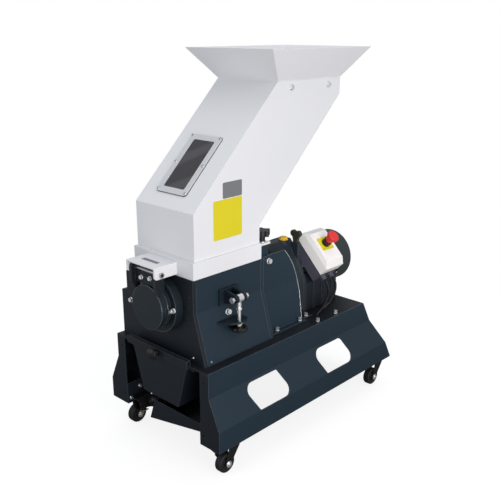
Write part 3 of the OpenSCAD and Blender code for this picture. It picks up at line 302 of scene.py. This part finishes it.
# %% plastics, rubber and plates
surface("smoked_pane", (0.034, 0.033, 0.038), 0.08, grain=60.0, lift=0.02, edge=0.0006, coat=0.4)
surface("black_plastic", (0.0075, 0.0075, 0.0085), 0.38, grain=1200.0, lift=0.15, edge=0.0014)
surface("olive_plastic", (0.030, 0.030, 0.022), 0.4, drift=0.1, grain=700.0, lift=0.2, edge=0.0014)
surface("dark_plastic", (0.066, 0.068, 0.092), 0.55, grain=900.0, lift=0.5, edge=0.0012)
surface("white_plastic", (0.78, 0.765, 0.755), 0.38, drift=0.015, grain=600.0, lift=0.06, edge=0.002)
surface("red_plastic", (0.60, 0.033, 0.031), 0.32, drift=0.05, grain=500.0, lift=0.05, edge=0.0012)
surface("amber_plug", (0.74, 0.42, 0.02), 0.4, drift=0.08, grain=500.0, lift=0.1, edge=0.001)
surface("wheel_rubber", (0.012, 0.012, 0.014), 0.6, grain=800.0, lift=0.3, edge=0.001)
surface("cable_rubber", (0.006, 0.006, 0.007), 0.45, grain=900.0, lift=0.2, edge=0.0006)
surface("yellow_plate", (0.66, 0.57, 0.012), 0.45, drift=0.03, grain=500.0, lift=0.05, edge=0.0006)
surface("grey_plate", (0.17, 0.175, 0.185), 0.42, drift=0.03, grain=500.0, lift=0.05, edge=0.0006)
print(len(surfaces), "finishes in all")

# %% [markdown]
# The window in the chute is smoked plastic that mirrors the studio in faint slanting bands. A real mirror
# image would need a whole room around the machine. A wave pattern that feeds a weak emission gives the same
# bands, and they stay put on the pane.

# %% bands on the pane
BAND_TURN = math.radians(28.0)
BAND_SCALE = 4.2
BAND_GLOW = 0.035
tree = surfaces["smoked_pane"].node_tree
place = tree.nodes.new("ShaderNodeTexCoord")
turn = tree.nodes.new("ShaderNodeMapping")
turn.inputs["Rotation"].default_value = (0.0, BAND_TURN, 0.0)
tree.links.new(place.outputs["Object"], turn.inputs["Vector"])
bands = tree.nodes.new("ShaderNodeTexWave")
bands.wave_type = "BANDS"
bands.bands_direction = "Z"
bands.inputs["Scale"].default_value = BAND_SCALE
bands.inputs["Distortion"].default_value = 1.6
tree.links.new(turn.outputs["Vector"], bands.inputs["Vector"])
band_level = tree.nodes.new("ShaderNodeMapRange")
band_level.interpolation_type = "SMOOTHSTEP"
band_level.inputs["From Min"].default_value = 0.55
band_level.inputs["From Max"].default_value = 0.95
band_level.inputs["To Max"].default_value = BAND_GLOW
tree.links.new(bands.outputs["Fac"], band_level.inputs["Value"])
pane_shader = tree.nodes["Principled BSDF"]
pane_shader.inputs["Emission Color"].default_value = (0.75, 0.75, 0.82, 1.0)
tree.links.new(band_level.outputs["Result"], pane_shader.inputs["Emission Strength"])
print("bands on the pane")

# %% [markdown]
# Each solid's record names the material slot that it is made of, so one loop dresses all sixty. Five solids
# take another surface, named one by one: the deck a darker coat that is painted shade, the clamp's bracket
# and the bearing cap and housing darker copies of the coat, and the hinge pin machined steel.

# %% dress the solids
FINISH_OF = {
    "base_deck": "shaded_deck_coat",
    "clamp_bracket": "clamp_coat",
    "bearing_cap": "cap_paint",
    "bearing_housing": "cap_paint",
    "hinge_pin": "machined_steel",
}
for node, obj in nodes.items():
    obj.data.materials.clear()
    obj.data.materials.append(surfaces[FINISH_OF.get(node, slot_of[node])])
print(len(surfaces), "surfaces on", len(nodes), "solids")

# %% [markdown]
# A few solids are made of two materials in the real machine, such as zinc nuts on a black castor fork. The
# solid could be cut in two, but its mesh has to stay as it is. A face can take another material, so the
# faces are told apart by where their middle lies at rest.

# %% two materials on the castor forks
FORK_HALF = 0.0156
FORK_TOP = 0.0900
AXLE_NUT_TOP = 0.045
CASTOR_X = 0.202
FRONT_AXLE_Y = -0.34
REAR_AXLE_Y = 0.396


def paint_faces(node, finish, inside):
    mesh = nodes[node].data
    mesh.materials.append(surfaces[finish])
    index = len(mesh.materials) - 1
    count = 0
    for face in mesh.polygons:
        if inside(face):
            face.material_index = index
            count += 1
    return count


def is_fork_nut(face, centre_x):
    at = face.center
    beside_fork = abs(at.x - centre_x) > FORK_HALF and at.z < AXLE_NUT_TOP
    return beside_fork or at.z > FORK_TOP


painted = 0
for corner in ("fl", "fr", "rl", "rr"):
    centre_x = -CASTOR_X if corner.endswith("l") else CASTOR_X
    painted += paint_faces("castor_fork_" + corner, "bright_zinc", lambda face: is_fork_nut(face, centre_x))
print(painted, "faces of nuts painted")

# %% [markdown]
# The stop button's collar is a black ring over a yellow plate, and the knobs that lock the hopper are black
# plastic on steel studs. Height tells these apart, measured along the lid's own outward line for the collar.

# %% two materials on the collar and the lock knobs
LID_TILT = math.radians(46.0)
MOTOR_Z = 0.446
PLATE_HEIGHT = 0.1708
STUD_TOP = 0.6178


def is_collar_ring(face):
    at = face.center
    return at.x * math.sin(LID_TILT) + (at.z - MOTOR_Z) * math.cos(LID_TILT) > PLATE_HEIGHT


painted = paint_faces("stop_collar", "black_plastic", is_collar_ring)
for side in ("left", "right"):
    painted += paint_faces("lock_knob_" + side, "bright_zinc", lambda face: face.center.z < STUD_TOP)
print(painted, "faces of the collar and the studs painted")

# %% [markdown]
# The clamp's bracket carries a bright pivot bolt, and two small screws of the front plate take the darker
# coat of the bin-end faces, which is painted shade. The bolt is found as a cylinder round the pivot's line,
# the screws as a thin box.

# %% two materials on the clamp bracket and the front screws
PIVOT_X = 0.172
PIVOT_Y = -0.246
PIVOT_Z = 0.5
BOLT_HEAD_R = 0.0104
BOLT_ROD_R = 0.0051
EYE_HALF = 0.0202


def is_pivot_bolt(face):
    at = face.center
    off_line = math.hypot(at.x - PIVOT_X, at.z - PIVOT_Z)
    outside_eye = abs(at.y - PIVOT_Y) > EYE_HALF
    return off_line < BOLT_HEAD_R and (outside_eye or off_line < BOLT_ROD_R)


def is_shaded_screw(face):
    at = face.center
    return at.x > 0.1 and -0.3801 < at.y < -0.3765 and 0.455 < at.z < 0.530


painted = paint_faces("clamp_bracket", "bright_zinc", is_pivot_bolt)
painted += paint_faces("housing_bolts", "front_powder_coat", is_shaded_screw)
print(painted, "faces of the pivot bolt and the front screws painted")

# %% [markdown]
# The skirts' inner faces and front flanges get less light in the photograph than the lamps give them here,
# so they take the darker coat. Their normals and their place at the front edge tell them apart.

# %% painted shade on the skirts
SKIRT_FRONT = -0.3955
TURNED_IN = -0.1
painted = 0
for side, sign in (("left", -1.0), ("right", 1.0)):
    painted += paint_faces("skirt_" + side, "front_powder_coat", lambda face: (
        face.normal.x * sign < TURNED_IN or face.center.y < SKIRT_FRONT))
print(painted, "faces of the skirts painted")

# %% [markdown]
# The added fittings are built from Blender's own primitives. Each helper adds to an open bmesh, and `piece`
# turns it into an object, colours it, and fixes it to the body that carries it, so it moves with the joint.

# %% a finished piece
def piece(name, shape, surface_name, body):
    mesh = bpy.data.meshes.new(name)
    shape.to_mesh(mesh)
    shape.free()
    mesh.materials.append(surfaces[surface_name])
    made = bpy.data.objects.new(name, mesh)
    scene.collection.objects.link(made)
    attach(made, body)
    return made


def edges_of(verts):
    """The edges that meet these vertices, each once, in an order that never changes."""
    return list(dict.fromkeys(edge for vert in verts for edge in vert.link_edges))


print("piece ready")

# %% [markdown]
# A box with rounded edges and a plate with rounded corners cover most sheet fittings. Both start as a unit
# cube whose matrix stretches and places it, so the bevel that follows works in real sizes.

# %% boxes and plates
def box_matrix(low, high, frame_at):
    low = Vector(low)
    high = Vector(high)
    size = high - low
    return frame_at @ Matrix.Translation((low + high) / 2) @ Matrix.Diagonal((size.x, size.y, size.z, 1.0))


def add_box(shape, low, high, round_off, frame_at=Matrix()):
    made = bmesh.ops.create_cube(shape, size=1.0, matrix=box_matrix(low, high, frame_at))
    bmesh.ops.bevel(shape, geom=edges_of(made["verts"]), offset=round_off, affect="EDGES", segments=2,
                    profile=0.5, material=-1)


def add_side_boxes(shape, near_low, far_high, round_off):
    """The same box on the left and on the right of the machine's middle plane."""
    for side in (-1.0, 1.0):
        low_x, high_x = sorted((side * near_low[0], side * far_high[0]))
        add_box(shape, (low_x, near_low[1], near_low[2]), (high_x, far_high[1], far_high[2]), round_off)


def add_plate(shape, low, high, frame_at, corner):
    """A flat plate in the given frame, with its four upright edges rounded off."""
    made = bmesh.ops.create_cube(shape, size=1.0, matrix=box_matrix(low, high, frame_at))
    normal = (frame_at.to_3x3() @ Vector((0.0, 0.0, 1.0))).normalized()
    upright = [edge for edge in edges_of(made["verts"])
               if abs((edge.verts[0].co - edge.verts[1].co).normalized().dot(normal)) > 0.9]
    bmesh.ops.bevel(shape, geom=upright, offset=corner, affect="EDGES", segments=6, profile=0.5,
                    material=-1)


print("boxes and plates ready")

# %% [markdown]
# Rods, bolts and screws all start from the cone operator. A bolt is a six-sided rod on a round washer. A
# screw's head is a flat cone, and its socket is an inset face pushed down, which needs no boolean.

# %% rods, screws and bolts
WASHER = 0.0016


def add_rod(shape, start, stop, radius, segments=24, end_radius=None):
    start = Vector(start)
    stop = Vector(stop)
    along = stop - start
    place = Matrix.Translation((start + stop) / 2) @ along.to_track_quat("Z", "Y").to_matrix().to_4x4()
    return bmesh.ops.create_cone(
        shape, cap_ends=True, segments=segments, radius1=radius,
        radius2=radius if end_radius is None else end_radius, depth=along.length, matrix=place)


def add_screw(shape, foot, outward, radius, height):
    """A pan head with a sunk socket, standing on foot."""
    foot = Vector(foot)
    outward = Vector(outward).normalized()
    head = add_rod(shape, foot, foot + outward * height, radius, 28, radius * 0.72)
    faces = list(dict.fromkeys(face for vert in head["verts"] for face in vert.link_faces))
    top = max(faces, key=lambda face: face.calc_center_median().dot(outward))
    bmesh.ops.inset_individual(shape, faces=[top], thickness=radius * 0.3, depth=0.0)
    bmesh.ops.inset_individual(shape, faces=[top], thickness=radius * 0.04, depth=-height * 0.6)


def add_bolt(shape, foot, outward, radius, height):
    """A hexagon head on a round washer."""
    foot = Vector(foot)
    outward = Vector(outward).normalized()
    add_rod(shape, foot, foot + outward * WASHER, radius * 1.25, 28)
    add_rod(shape, foot + outward * WASHER, foot + outward * height, radius, 6)


print("rods, screws and bolts ready")

# %% [markdown]
# A cast shape of constant section is its outline drawn out along Y: one face, extruded and moved. The
# outline holds only the corners that the eye can see, and the bevel breaks them as a mould does.

# %% prisms
def add_prism(shape, outline, y_from, y_to, round_off):
    verts = [shape.verts.new((x, y_from, z)) for x, z in outline]
    cap = shape.faces.new(verts)
    grown = bmesh.ops.extrude_face_region(shape, geom=[cap])
    moved = [item for item in grown["geom"] if isinstance(item, bmesh.types.BMVert)]
    bmesh.ops.translate(shape, verts=moved, vec=(0.0, y_to - y_from, 0.0))
    bmesh.ops.recalc_face_normals(shape, faces=shape.faces[:])
    bmesh.ops.bevel(shape, geom=edges_of(verts + moved), offset=round_off, affect="EDGES", segments=3,
                    profile=0.5, material=-1)


print("prisms ready")

# %% [markdown]
# The sight window is screwed on by six pan head screws, three on each long side, with a thin black gasket
# that shows as a dark line round the frame. Everything here is measured up the slope from the chute's knee,
# because the real part is set out on the flat sheet and then folded.

# %% sight window fittings
KNEE = Vector((0.0, -0.365, 0.7531))
UP_SLOPE = Vector((0.0, 0.3325, 0.3256)).normalized()
OFF_SLOPE = Vector((0.0, -UP_SLOPE.z, UP_SLOPE.y))
WINDOW_COLUMNS = (-0.063, 0.050)
WINDOW_ROWS = (0.053, 0.148, 0.2445)
FRAME_FACE = 0.0038
slope_frame = Matrix.Translation(KNEE) @ Matrix((
    (1.0, 0.0, 0.0, 0.0), (0.0, UP_SLOPE.y, OFF_SLOPE.y, 0.0), (0.0, UP_SLOPE.z, OFF_SLOPE.z, 0.0),
    (0.0, 0.0, 0.0, 1.0)))

shape = bmesh.new()
for column in WINDOW_COLUMNS:
    for row in WINDOW_ROWS:
        add_screw(shape, slope_frame @ Vector((column, row, FRAME_FACE)), OFF_SLOPE, 0.0046, 0.0026)
piece("sight_screws", shape, "machined_steel", "hopper")

shape = bmesh.new()
add_plate(shape, (-0.0680, 0.0450, -0.0004), (0.0560, 0.2510, 0.0014), slope_frame, 0.0095)
piece("sight_gasket", shape, "black_plastic", "hopper")
print("sight window fitted")

# %% [markdown]
# Two hexagon bolts on each side hold the chute's neck to the flared mouth. Where the folded sheets meet, at
# the collar and at the neck, the real hopper has a thin seam of weld and paint, made here as slim rods.

# %% neck bolts and seams
CHUTE_SIDE = 0.1213
NECK_BOLTS = ((0.0256, 1.0596), (0.1997, 1.0588))
SEAM = 0.0013
COLLAR_SEAM = (-0.365, -0.1082, 0.6203)
NECK_SEAM = (-0.0325, 0.2573, 1.0787)

shape = bmesh.new()
for bolt_y, bolt_z in NECK_BOLTS:
    for side in (-1.0, 1.0):
        add_bolt(shape, (side * (CHUTE_SIDE - 0.0002), bolt_y, bolt_z), (side, 0.0, 0.0), 0.0075, 0.0062)
piece("neck_bolts", shape, "bright_zinc", "hopper")

shape = bmesh.new()
for front_y, rear_y, seam_z in (COLLAR_SEAM, NECK_SEAM):
    for x in (-CHUTE_SIDE, CHUTE_SIDE):
        add_rod(shape, (x, front_y, seam_z), (x, rear_y, seam_z), SEAM, 10)
    for y in (front_y, rear_y):
        add_rod(shape, (-CHUTE_SIDE, y, seam_z), (CHUTE_SIDE, y, seam_z), SEAM, 10)
piece("hopper_seams", shape, "white_powder_coat", "hopper")
print("neck bolted and seams laid")

# %% [markdown]
# The chute's right side carries a plain yellow plate with a smaller grey plate above it, and the hinge hood
# has a narrow grey strip. They are thin plates that stand proud by the thickness of their sheet, set in a
# frame turned so that its Z runs out of the side wall.

# %% plain plates
PLATE_BACK = CHUTE_SIDE - 0.0004
PLATE_FRONT = CHUTE_SIDE + 0.0006
side_frame = Matrix.Rotation(math.radians(90.0), 4, "Y")

shape = bmesh.new()
add_plate(shape, (-0.7753, -0.2927, PLATE_BACK), (-0.6645, -0.182, PLATE_FRONT), side_frame, 0.004)
piece("side_plate_yellow", shape, "yellow_plate", "hopper")

shape = bmesh.new()
add_plate(shape, (-0.822, -0.256, PLATE_BACK), (-0.7775, -0.1817, PLATE_FRONT), side_frame, 0.004)
piece("side_plate_grey", shape, "grey_plate", "hopper")

shape = bmesh.new()
add_box(shape, (-0.033, -0.424, 0.6116), (0.033, -0.411, 0.6126), 0.0003)
piece("hood_strip", shape, "grey_plate", "hopper")
print("plain plates fixed")

# %% [markdown]
# The hinge pin is a cap screw, so its ends have a hexagon socket. A dark six-sided inlay, half a millimetre
# proud, is painted shade for the socket's hollow: it reads as the socket from any distance and leaves the
# solid's mesh alone.

# %% painted shade in the sockets of the hinge pin
PIN_Y = -0.432
PIN_Z = 0.5874
PIN_END = 0.0649

shape = bmesh.new()
for side in (-1.0, 1.0):
    add_rod(shape, (side * PIN_END, PIN_Y, PIN_Z), (side * (PIN_END + 0.0006), PIN_Y, PIN_Z), 0.0044, 6)
piece("pin_socket_shade", shape, "black_plastic", "base")
print("pin sockets made")

# %% [markdown]
# The bearing cap and its flange have turned rims that catch the key lamp as thin bright circles. A bevel on
# the solid isn't allowed, so each rim is a fine ring laid over the edge: a small circle spun once round the
# rotor's line. Spinning can turn a shape inside out, so the normals are worked out again.

# %% bearing rims
ROTOR_Z = 0.480
RIM_WIRE = 0.0013
RIMS = ((-0.4366, 0.0646), (-0.4152, 0.0650), (-0.4014, 0.0808))


def add_ring(shape, centre, radius, wire):
    start = Matrix.Translation(centre + Vector((radius, 0.0, 0.0)))
    circle = bmesh.ops.create_circle(shape, segments=10, radius=wire, matrix=start)
    bmesh.ops.spin(shape, geom=edges_of(circle["verts"]), cent=centre, axis=(0.0, 1.0, 0.0),
                   angle=math.tau, steps=72, use_merge=True)
    bmesh.ops.recalc_face_normals(shape, faces=shape.faces[:])


shape = bmesh.new()
for rim_y, rim_r in RIMS:
    add_ring(shape, Vector((0.0, rim_y, ROTOR_Z)), rim_r, RIM_WIRE)
piece("bearing_rims", shape, "gloss_edge", "base")
print(len(RIMS), "bearing rims made")

# %% [markdown]
# The swing clamp is tightened by a wide, flat knob with eight lobes. A full outline with arcs would be one
# way. Overlapping discs with rounded rims are simpler, and look the same once they share one black plastic.

# %% clamp knob
KNOB_LOW = 0.4015
KNOB_HIGH = 0.4135
LOBES = 8
LOBE_CIRCLE = 0.0192


def add_knob_disc(shape, at_x, at_y, radius):
    made = add_rod(shape, (at_x, at_y, KNOB_LOW), (at_x, at_y, KNOB_HIGH), radius, 48)
    rims = [edge for edge in edges_of(made["verts"]) if abs(edge.verts[0].co.z - edge.verts[1].co.z) < 1e-6]
    bmesh.ops.bevel(shape, geom=rims, offset=0.0025, affect="EDGES", segments=3, profile=0.5, material=-1)


shape = bmesh.new()
add_knob_disc(shape, PIVOT_X, PIVOT_Y, 0.0212)
for lobe in range(LOBES):
    angle = math.tau * lobe / LOBES
    add_knob_disc(shape, PIVOT_X + LOBE_CIRCLE * math.cos(angle), PIVOT_Y + LOBE_CIRCLE * math.sin(angle),
                  0.0052)
add_rod(shape, (PIVOT_X, PIVOT_Y, 0.412), (PIVOT_X, PIVOT_Y, 0.416), 0.010, 32, 0.009)
knob = piece("clamp_knob_wide", shape, "black_plastic", "clamp_knob_body")
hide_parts("clamp_knob")
print("clamp knob with", LOBES, "lobes made")

# %% [markdown]
# The gear case is a casting with slanted shoulders and two raised ribs where its halves are bolted together.
# It takes the place of the solid's plainer case. The outline is drawn once for the body and once, a little
# larger, for the ribs. A boss for the oil plug, a block for the lifting lug and two feet finish it.

# %% gear case
DECK = 0.3284
CASE_FRONT = -0.094
CASE_REAR = 0.120
CASE_OUTLINE = [(-0.115, DECK), (0.115, DECK), (0.115, 0.446), (0.062, 0.553), (0.047, 0.5715),
                (0.012, 0.5685), (-0.020, 0.5535), (-0.066, 0.528), (-0.115, 0.446)]
RIB_OUTLINE = [(-0.118, DECK), (0.118, DECK), (0.118, 0.447), (0.0645, 0.555), (0.0485, 0.5738),
               (0.0115, 0.571), (-0.022, 0.5565), (-0.0685, 0.530), (-0.118, 0.447)]
PLUG_X = 0.042
PLUG_Y = 0.092
BOSS_TOP = 0.5728

shape = bmesh.new()
add_prism(shape, CASE_OUTLINE, CASE_FRONT, CASE_REAR, 0.0022)
add_prism(shape, RIB_OUTLINE, 0.004, 0.012, 0.0015)
add_prism(shape, RIB_OUTLINE, 0.109, 0.1199, 0.0015)
add_side_boxes(shape, (0.114, 0.074, DECK), (0.148, CASE_REAR, DECK + 0.005), 0.001)
add_rod(shape, (PLUG_X, PLUG_Y, 0.550), (PLUG_X, PLUG_Y, BOSS_TOP), 0.0155, 40)
add_box(shape, (0.064, 0.1045, 0.520), (0.092, 0.1195, 0.566), 0.002)
case = piece("gear_case_shell", shape, "cast_case", "base")
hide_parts("gear_case")
print("gear case made")

# %% [markdown]
# The oil plug is a flat amber hexagon on a round collar. It stands upright on the new case's boss, so it
# replaces the plug that was set on the plainer case.

# %% oil plug
shape = bmesh.new()
add_rod(shape, (PLUG_X, PLUG_Y, 0.5725), (PLUG_X, PLUG_Y, 0.5742), 0.0148, 40)
add_rod(shape, (PLUG_X, PLUG_Y, 0.574), (PLUG_X, PLUG_Y, 0.5815), 0.0138, 6, 0.0130)
plug = piece("oil_plug_upright", shape, "amber_plug", "base")
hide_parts("oil_plug")
print("oil plug made")

# %% [markdown]
# The lifting lug is a two-lobed grip on a waisted stem. Two short discs make the lobes, a prism the stem and
# a box the bridge between the lobes. Only the discs' outer rims are rounded: those are the edges where two
# faces meet at a sharp angle.

# %% lifting lug
LUG_FRONT = 0.106
LUG_REAR = 0.118
LOBE_X = (0.0685, 0.0885)
LOBE_Z = 0.5955
STEM_OUTLINE = [(0.070, 0.564), (0.086, 0.564), (0.088, 0.578), (0.094, 0.594), (0.063, 0.594),
                (0.068, 0.578)]

shape = bmesh.new()
add_prism(shape, STEM_OUTLINE, LUG_FRONT, LUG_REAR, 0.0018)
for lobe_x in LOBE_X:
    disc = add_rod(shape, (lobe_x, LUG_FRONT, LOBE_Z), (lobe_x, LUG_REAR, LOBE_Z), 0.0108, 32)
    rims = [edge for edge in edges_of(disc["verts"])
            if len(edge.link_faces) == 2 and abs(edge.calc_face_angle(0.0)) > 1.0]
    bmesh.ops.bevel(shape, geom=rims, offset=0.002, affect="EDGES", segments=2, profile=0.5, material=-1)
add_box(shape, (0.066, 0.1062, 0.5865), (0.091, 0.1178, 0.6035), 0.0018)
lug = piece("lifting_lug_upright", shape, "olive_plastic", "base")
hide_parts("lifting_lug")
print("lifting lug made")

# %% [markdown]
# Under the motor's front end stands a dark ribbed pedestal, which carries the motor and hides the deck behind
# it. It is a prism with bevelled shoulders and three low ribs on each side.

# %% motor pedestal
PEDESTAL_OUTLINE = [(-0.108, DECK), (0.108, DECK), (0.108, 0.424), (0.084, 0.450), (-0.084, 0.450),
                    (-0.108, 0.424)]
PEDESTAL_RIBS = (0.171, 0.2155, 0.261)

shape = bmesh.new()
add_prism(shape, PEDESTAL_OUTLINE, 0.1335, 0.297, 0.003)
for rib_y in PEDESTAL_RIBS:
    add_side_boxes(shape, (0.107, rib_y, DECK), (0.113, rib_y + 0.004, 0.421), 0.001)
# The pedestal takes the darker copy of the coat that stands for painted shade.
piece("motor_pedestal", shape, "front_powder_coat", "base")
print("motor pedestal made")

# %% [markdown]
# Eight bolts on a circle hold the motor's flange, and two small screws hold the foot of the front plate. A
# loop turns the bolts round the motor's line, half a step off the upright, as flanges are drilled.

# %% flange bolts and foot screws
FLANGE_BOLTS = 8
BOLT_CIRCLE = 0.0895
FLANGE_FACE = 0.1318

shape = bmesh.new()
for number in range(FLANGE_BOLTS):
    angle = math.tau * (number + 0.5) / FLANGE_BOLTS
    foot = (BOLT_CIRCLE * math.cos(angle), FLANGE_FACE, MOTOR_Z + BOLT_CIRCLE * math.sin(angle))
    add_bolt(shape, foot, (0.0, 1.0, 0.0), 0.0058, 0.0065)
piece("flange_bolts", shape, "bright_zinc", "base")

shape = bmesh.new()
add_screw(shape, (0.120, -0.3768, 0.344), (0.0, -1.0, 0.0), 0.0034, 0.002)
add_screw(shape, (0.1655, -0.351, 0.3375), (0.959, 0.0, 0.284), 0.0034, 0.002)
piece("foot_screws", shape, "machined_steel", "base")
print("flange bolts and foot screws made")

# %% [markdown]
# The guards beside the gear case end in an arc, and their painted edge catches the lamps as a bright line.
# That line is a painted highlight: bright zinc rods laid along the edge. The edge's place at any height
# follows from the arc's radius and from the bend where the guard flares out, so a function gives it, and
# short rods from point to point draw the bright line.

# %% painted highlights on the guard edges
GUARD_TOP = 0.575
GUARD_BEND = 0.462
GUARD_REAR = 0.072
GUARD_ARC = 0.250
ARC_START = 0.400
GUARD_HALF = 0.125
GUARD_FLARE = 0.016
EDGE_STEPS = 20
EDGE_LOW = DECK + 0.008
EDGE_HIGH = GUARD_TOP - 0.002


def guard_edge(side, height):
    rise = max(height - ARC_START, 0.0)
    back = GUARD_REAR - GUARD_ARC + math.sqrt(GUARD_ARC ** 2 - rise ** 2)
    flare = max(GUARD_BEND - height, 0.0) / (GUARD_BEND - DECK) * GUARD_FLARE
    return side * (GUARD_HALF + flare), back, height


heights = [EDGE_LOW + (EDGE_HIGH - EDGE_LOW) * step / EDGE_STEPS for step in range(EDGE_STEPS + 1)]
shape = bmesh.new()
for side in (-1.0, 1.0):
    for low_z, high_z in zip(heights[:-1], heights[1:]):
        add_rod(shape, guard_edge(side, low_z), guard_edge(side, high_z), 0.0011, 8)
piece("guard_edges", shape, "bright_zinc", "base")
print("guard edges drawn in", 2 * EDGE_STEPS, "short rods")

# %% [markdown]
# The control box leans out over the motor. Between its dark base and its white lid lies a thin black seal,
# and the base is a little deeper than the solid's. Both are boxes in the box's own frame, whose X runs down
# the slope and whose Z runs out of the lid, so no corner has to be worked out by hand.

# %% seal and foot of the control box
box_frame = Matrix.Translation((0.0, 0.0, MOTOR_Z)) @ Matrix.Rotation(LID_TILT, 4, "Y")
BOX_TOP = -0.050
BOX_LOW = 0.093
BOX_NEAR = 0.151
BOX_FAR = 0.244
SEAL_LIP = 0.0005

shape = bmesh.new()
add_box(shape, (BOX_TOP - SEAL_LIP, BOX_NEAR - SEAL_LIP, 0.1182),
        (BOX_LOW + SEAL_LIP, BOX_FAR + SEAL_LIP, 0.1200), 0.0004, box_frame)
piece("lid_seal", shape, "cable_rubber", "base")

shape = bmesh.new()
add_box(shape, (BOX_TOP, BOX_NEAR, 0.0765), (BOX_LOW, BOX_FAR, 0.0862), 0.003, box_frame)
piece("box_foot", shape, "dark_plastic", "base")
print("seal and foot of the control box made")

# %% [markdown]
# Four screws of the lid's own plastic close the box, and four tiny steel screws hold the yellow plate under
# the stop button. They stand on the lid's face and on the plate's face, along the frame's Z.

# %% screws of the control box
LID_FACE = 0.1689
PLATE_FACE = 0.1704
LID_SCREWS_X = (BOX_TOP + 0.025, BOX_LOW - 0.027)
LID_SCREWS_Y = (BOX_NEAR + 0.0125, BOX_FAR - 0.0125)
PLATE_SCREWS_X = (0.013 - 0.018, 0.013 + 0.018)
PLATE_SCREWS_Y = (0.197 - 0.022, 0.197 + 0.022)
outward = box_frame.to_3x3() @ Vector((0.0, 0.0, 1.0))


def screw_grid(columns, rows, face, radius, height):
    shape = bmesh.new()
    for column in columns:
        for row in rows:
            add_screw(shape, box_frame @ Vector((column, row, face)), outward, radius, height)
    return shape


shape = screw_grid(LID_SCREWS_X, LID_SCREWS_Y, LID_FACE, 0.0032, 0.0009)
piece("lid_screws", shape, "white_plastic", "base")
shape = screw_grid(PLATE_SCREWS_X, PLATE_SCREWS_Y, PLATE_FACE, 0.0018, 0.0008)
piece("plate_screws", shape, "machined_steel", "base")
print("control box fittings made")

# %% [markdown]
# The floor has to be white to the lens, yet hold the soft shadows under the machine. A white diffuse floor
# would throw light up at the dark skirts, so the floor is a mid grey that glows for the camera's rays alone,
# and fades to clear away from the machine so that no horizon shows.

# %% floor paint
FLOOR_GLOW = 0.84
FADE_FROM = 0.85
FADE_TO = 1.9
FLOOR_DARK = 0.20
FLOOR_PALE = 0.24
floor_paint = bpy.data.materials.new("studio_floor")
floor_paint.use_nodes = True
tree = floor_paint.node_tree
tree.nodes.clear()
place = tree.nodes.new("ShaderNodeTexCoord")
speckle = tree.nodes.new("ShaderNodeTexNoise")
speckle.inputs["Scale"].default_value = 140.0
tree.links.new(place.outputs["Object"], speckle.inputs["Vector"])
tone = tree.nodes.new("ShaderNodeMapRange")
tone.inputs["To Min"].default_value = FLOOR_DARK
tone.inputs["To Max"].default_value = FLOOR_PALE
tree.links.new(speckle.outputs["Fac"], tone.inputs["Value"])
matte = tree.nodes.new("ShaderNodeBsdfDiffuse")
tree.links.new(tone.outputs["Result"], matte.inputs["Color"])
eye_only = tree.nodes.new("ShaderNodeLightPath")
glow_level = tree.nodes.new("ShaderNodeMath")
glow_level.operation = "MULTIPLY"
glow_level.inputs[1].default_value = FLOOR_GLOW
tree.links.new(eye_only.outputs["Is Camera Ray"], glow_level.inputs[0])
glow = tree.nodes.new("ShaderNodeEmission")
glow.inputs["Color"].default_value = (1.0, 1.0, 1.0, 1.0)
tree.links.new(glow_level.outputs["Value"], glow.inputs["Strength"])
both = tree.nodes.new("ShaderNodeAddShader")
tree.links.new(matte.outputs[0], both.inputs[0])
tree.links.new(glow.outputs[0], both.inputs[1])
print("floor paint mixed")

# %% [markdown]
# The fade is a smooth step over the distance from the middle of the floor: the glowing paint inside, clear
# outside. The floor itself is one grid cell from Blender's grid operator.

# %% floor
FLOOR_HALF = 3.0
distance = tree.nodes.new("ShaderNodeVectorMath")
distance.operation = "LENGTH"
tree.links.new(place.outputs["Object"], distance.inputs[0])
fade = tree.nodes.new("ShaderNodeMapRange")
fade.interpolation_type = "SMOOTHSTEP"
fade.inputs["From Min"].default_value = FADE_FROM
fade.inputs["From Max"].default_value = FADE_TO
tree.links.new(distance.outputs["Value"], fade.inputs["Value"])
clear = tree.nodes.new("ShaderNodeBsdfTransparent")
blend = tree.nodes.new("ShaderNodeMixShader")
tree.links.new(fade.outputs["Result"], blend.inputs[0])
tree.links.new(both.outputs[0], blend.inputs[1])
tree.links.new(clear.outputs[0], blend.inputs[2])
floor_out = tree.nodes.new("ShaderNodeOutputMaterial")
tree.links.new(blend.outputs[0], floor_out.inputs["Surface"])

floor_mesh = bpy.data.meshes.new("studio_floor")
shape = bmesh.new()
bmesh.ops.create_grid(shape, x_segments=1, y_segments=1, size=FLOOR_HALF)
shape.to_mesh(floor_mesh)
shape.free()
floor = bpy.data.objects.new("studio_floor", floor_mesh)
floor.data.materials.append(floor_paint)
scene.collection.objects.link(floor)
print("floor laid")
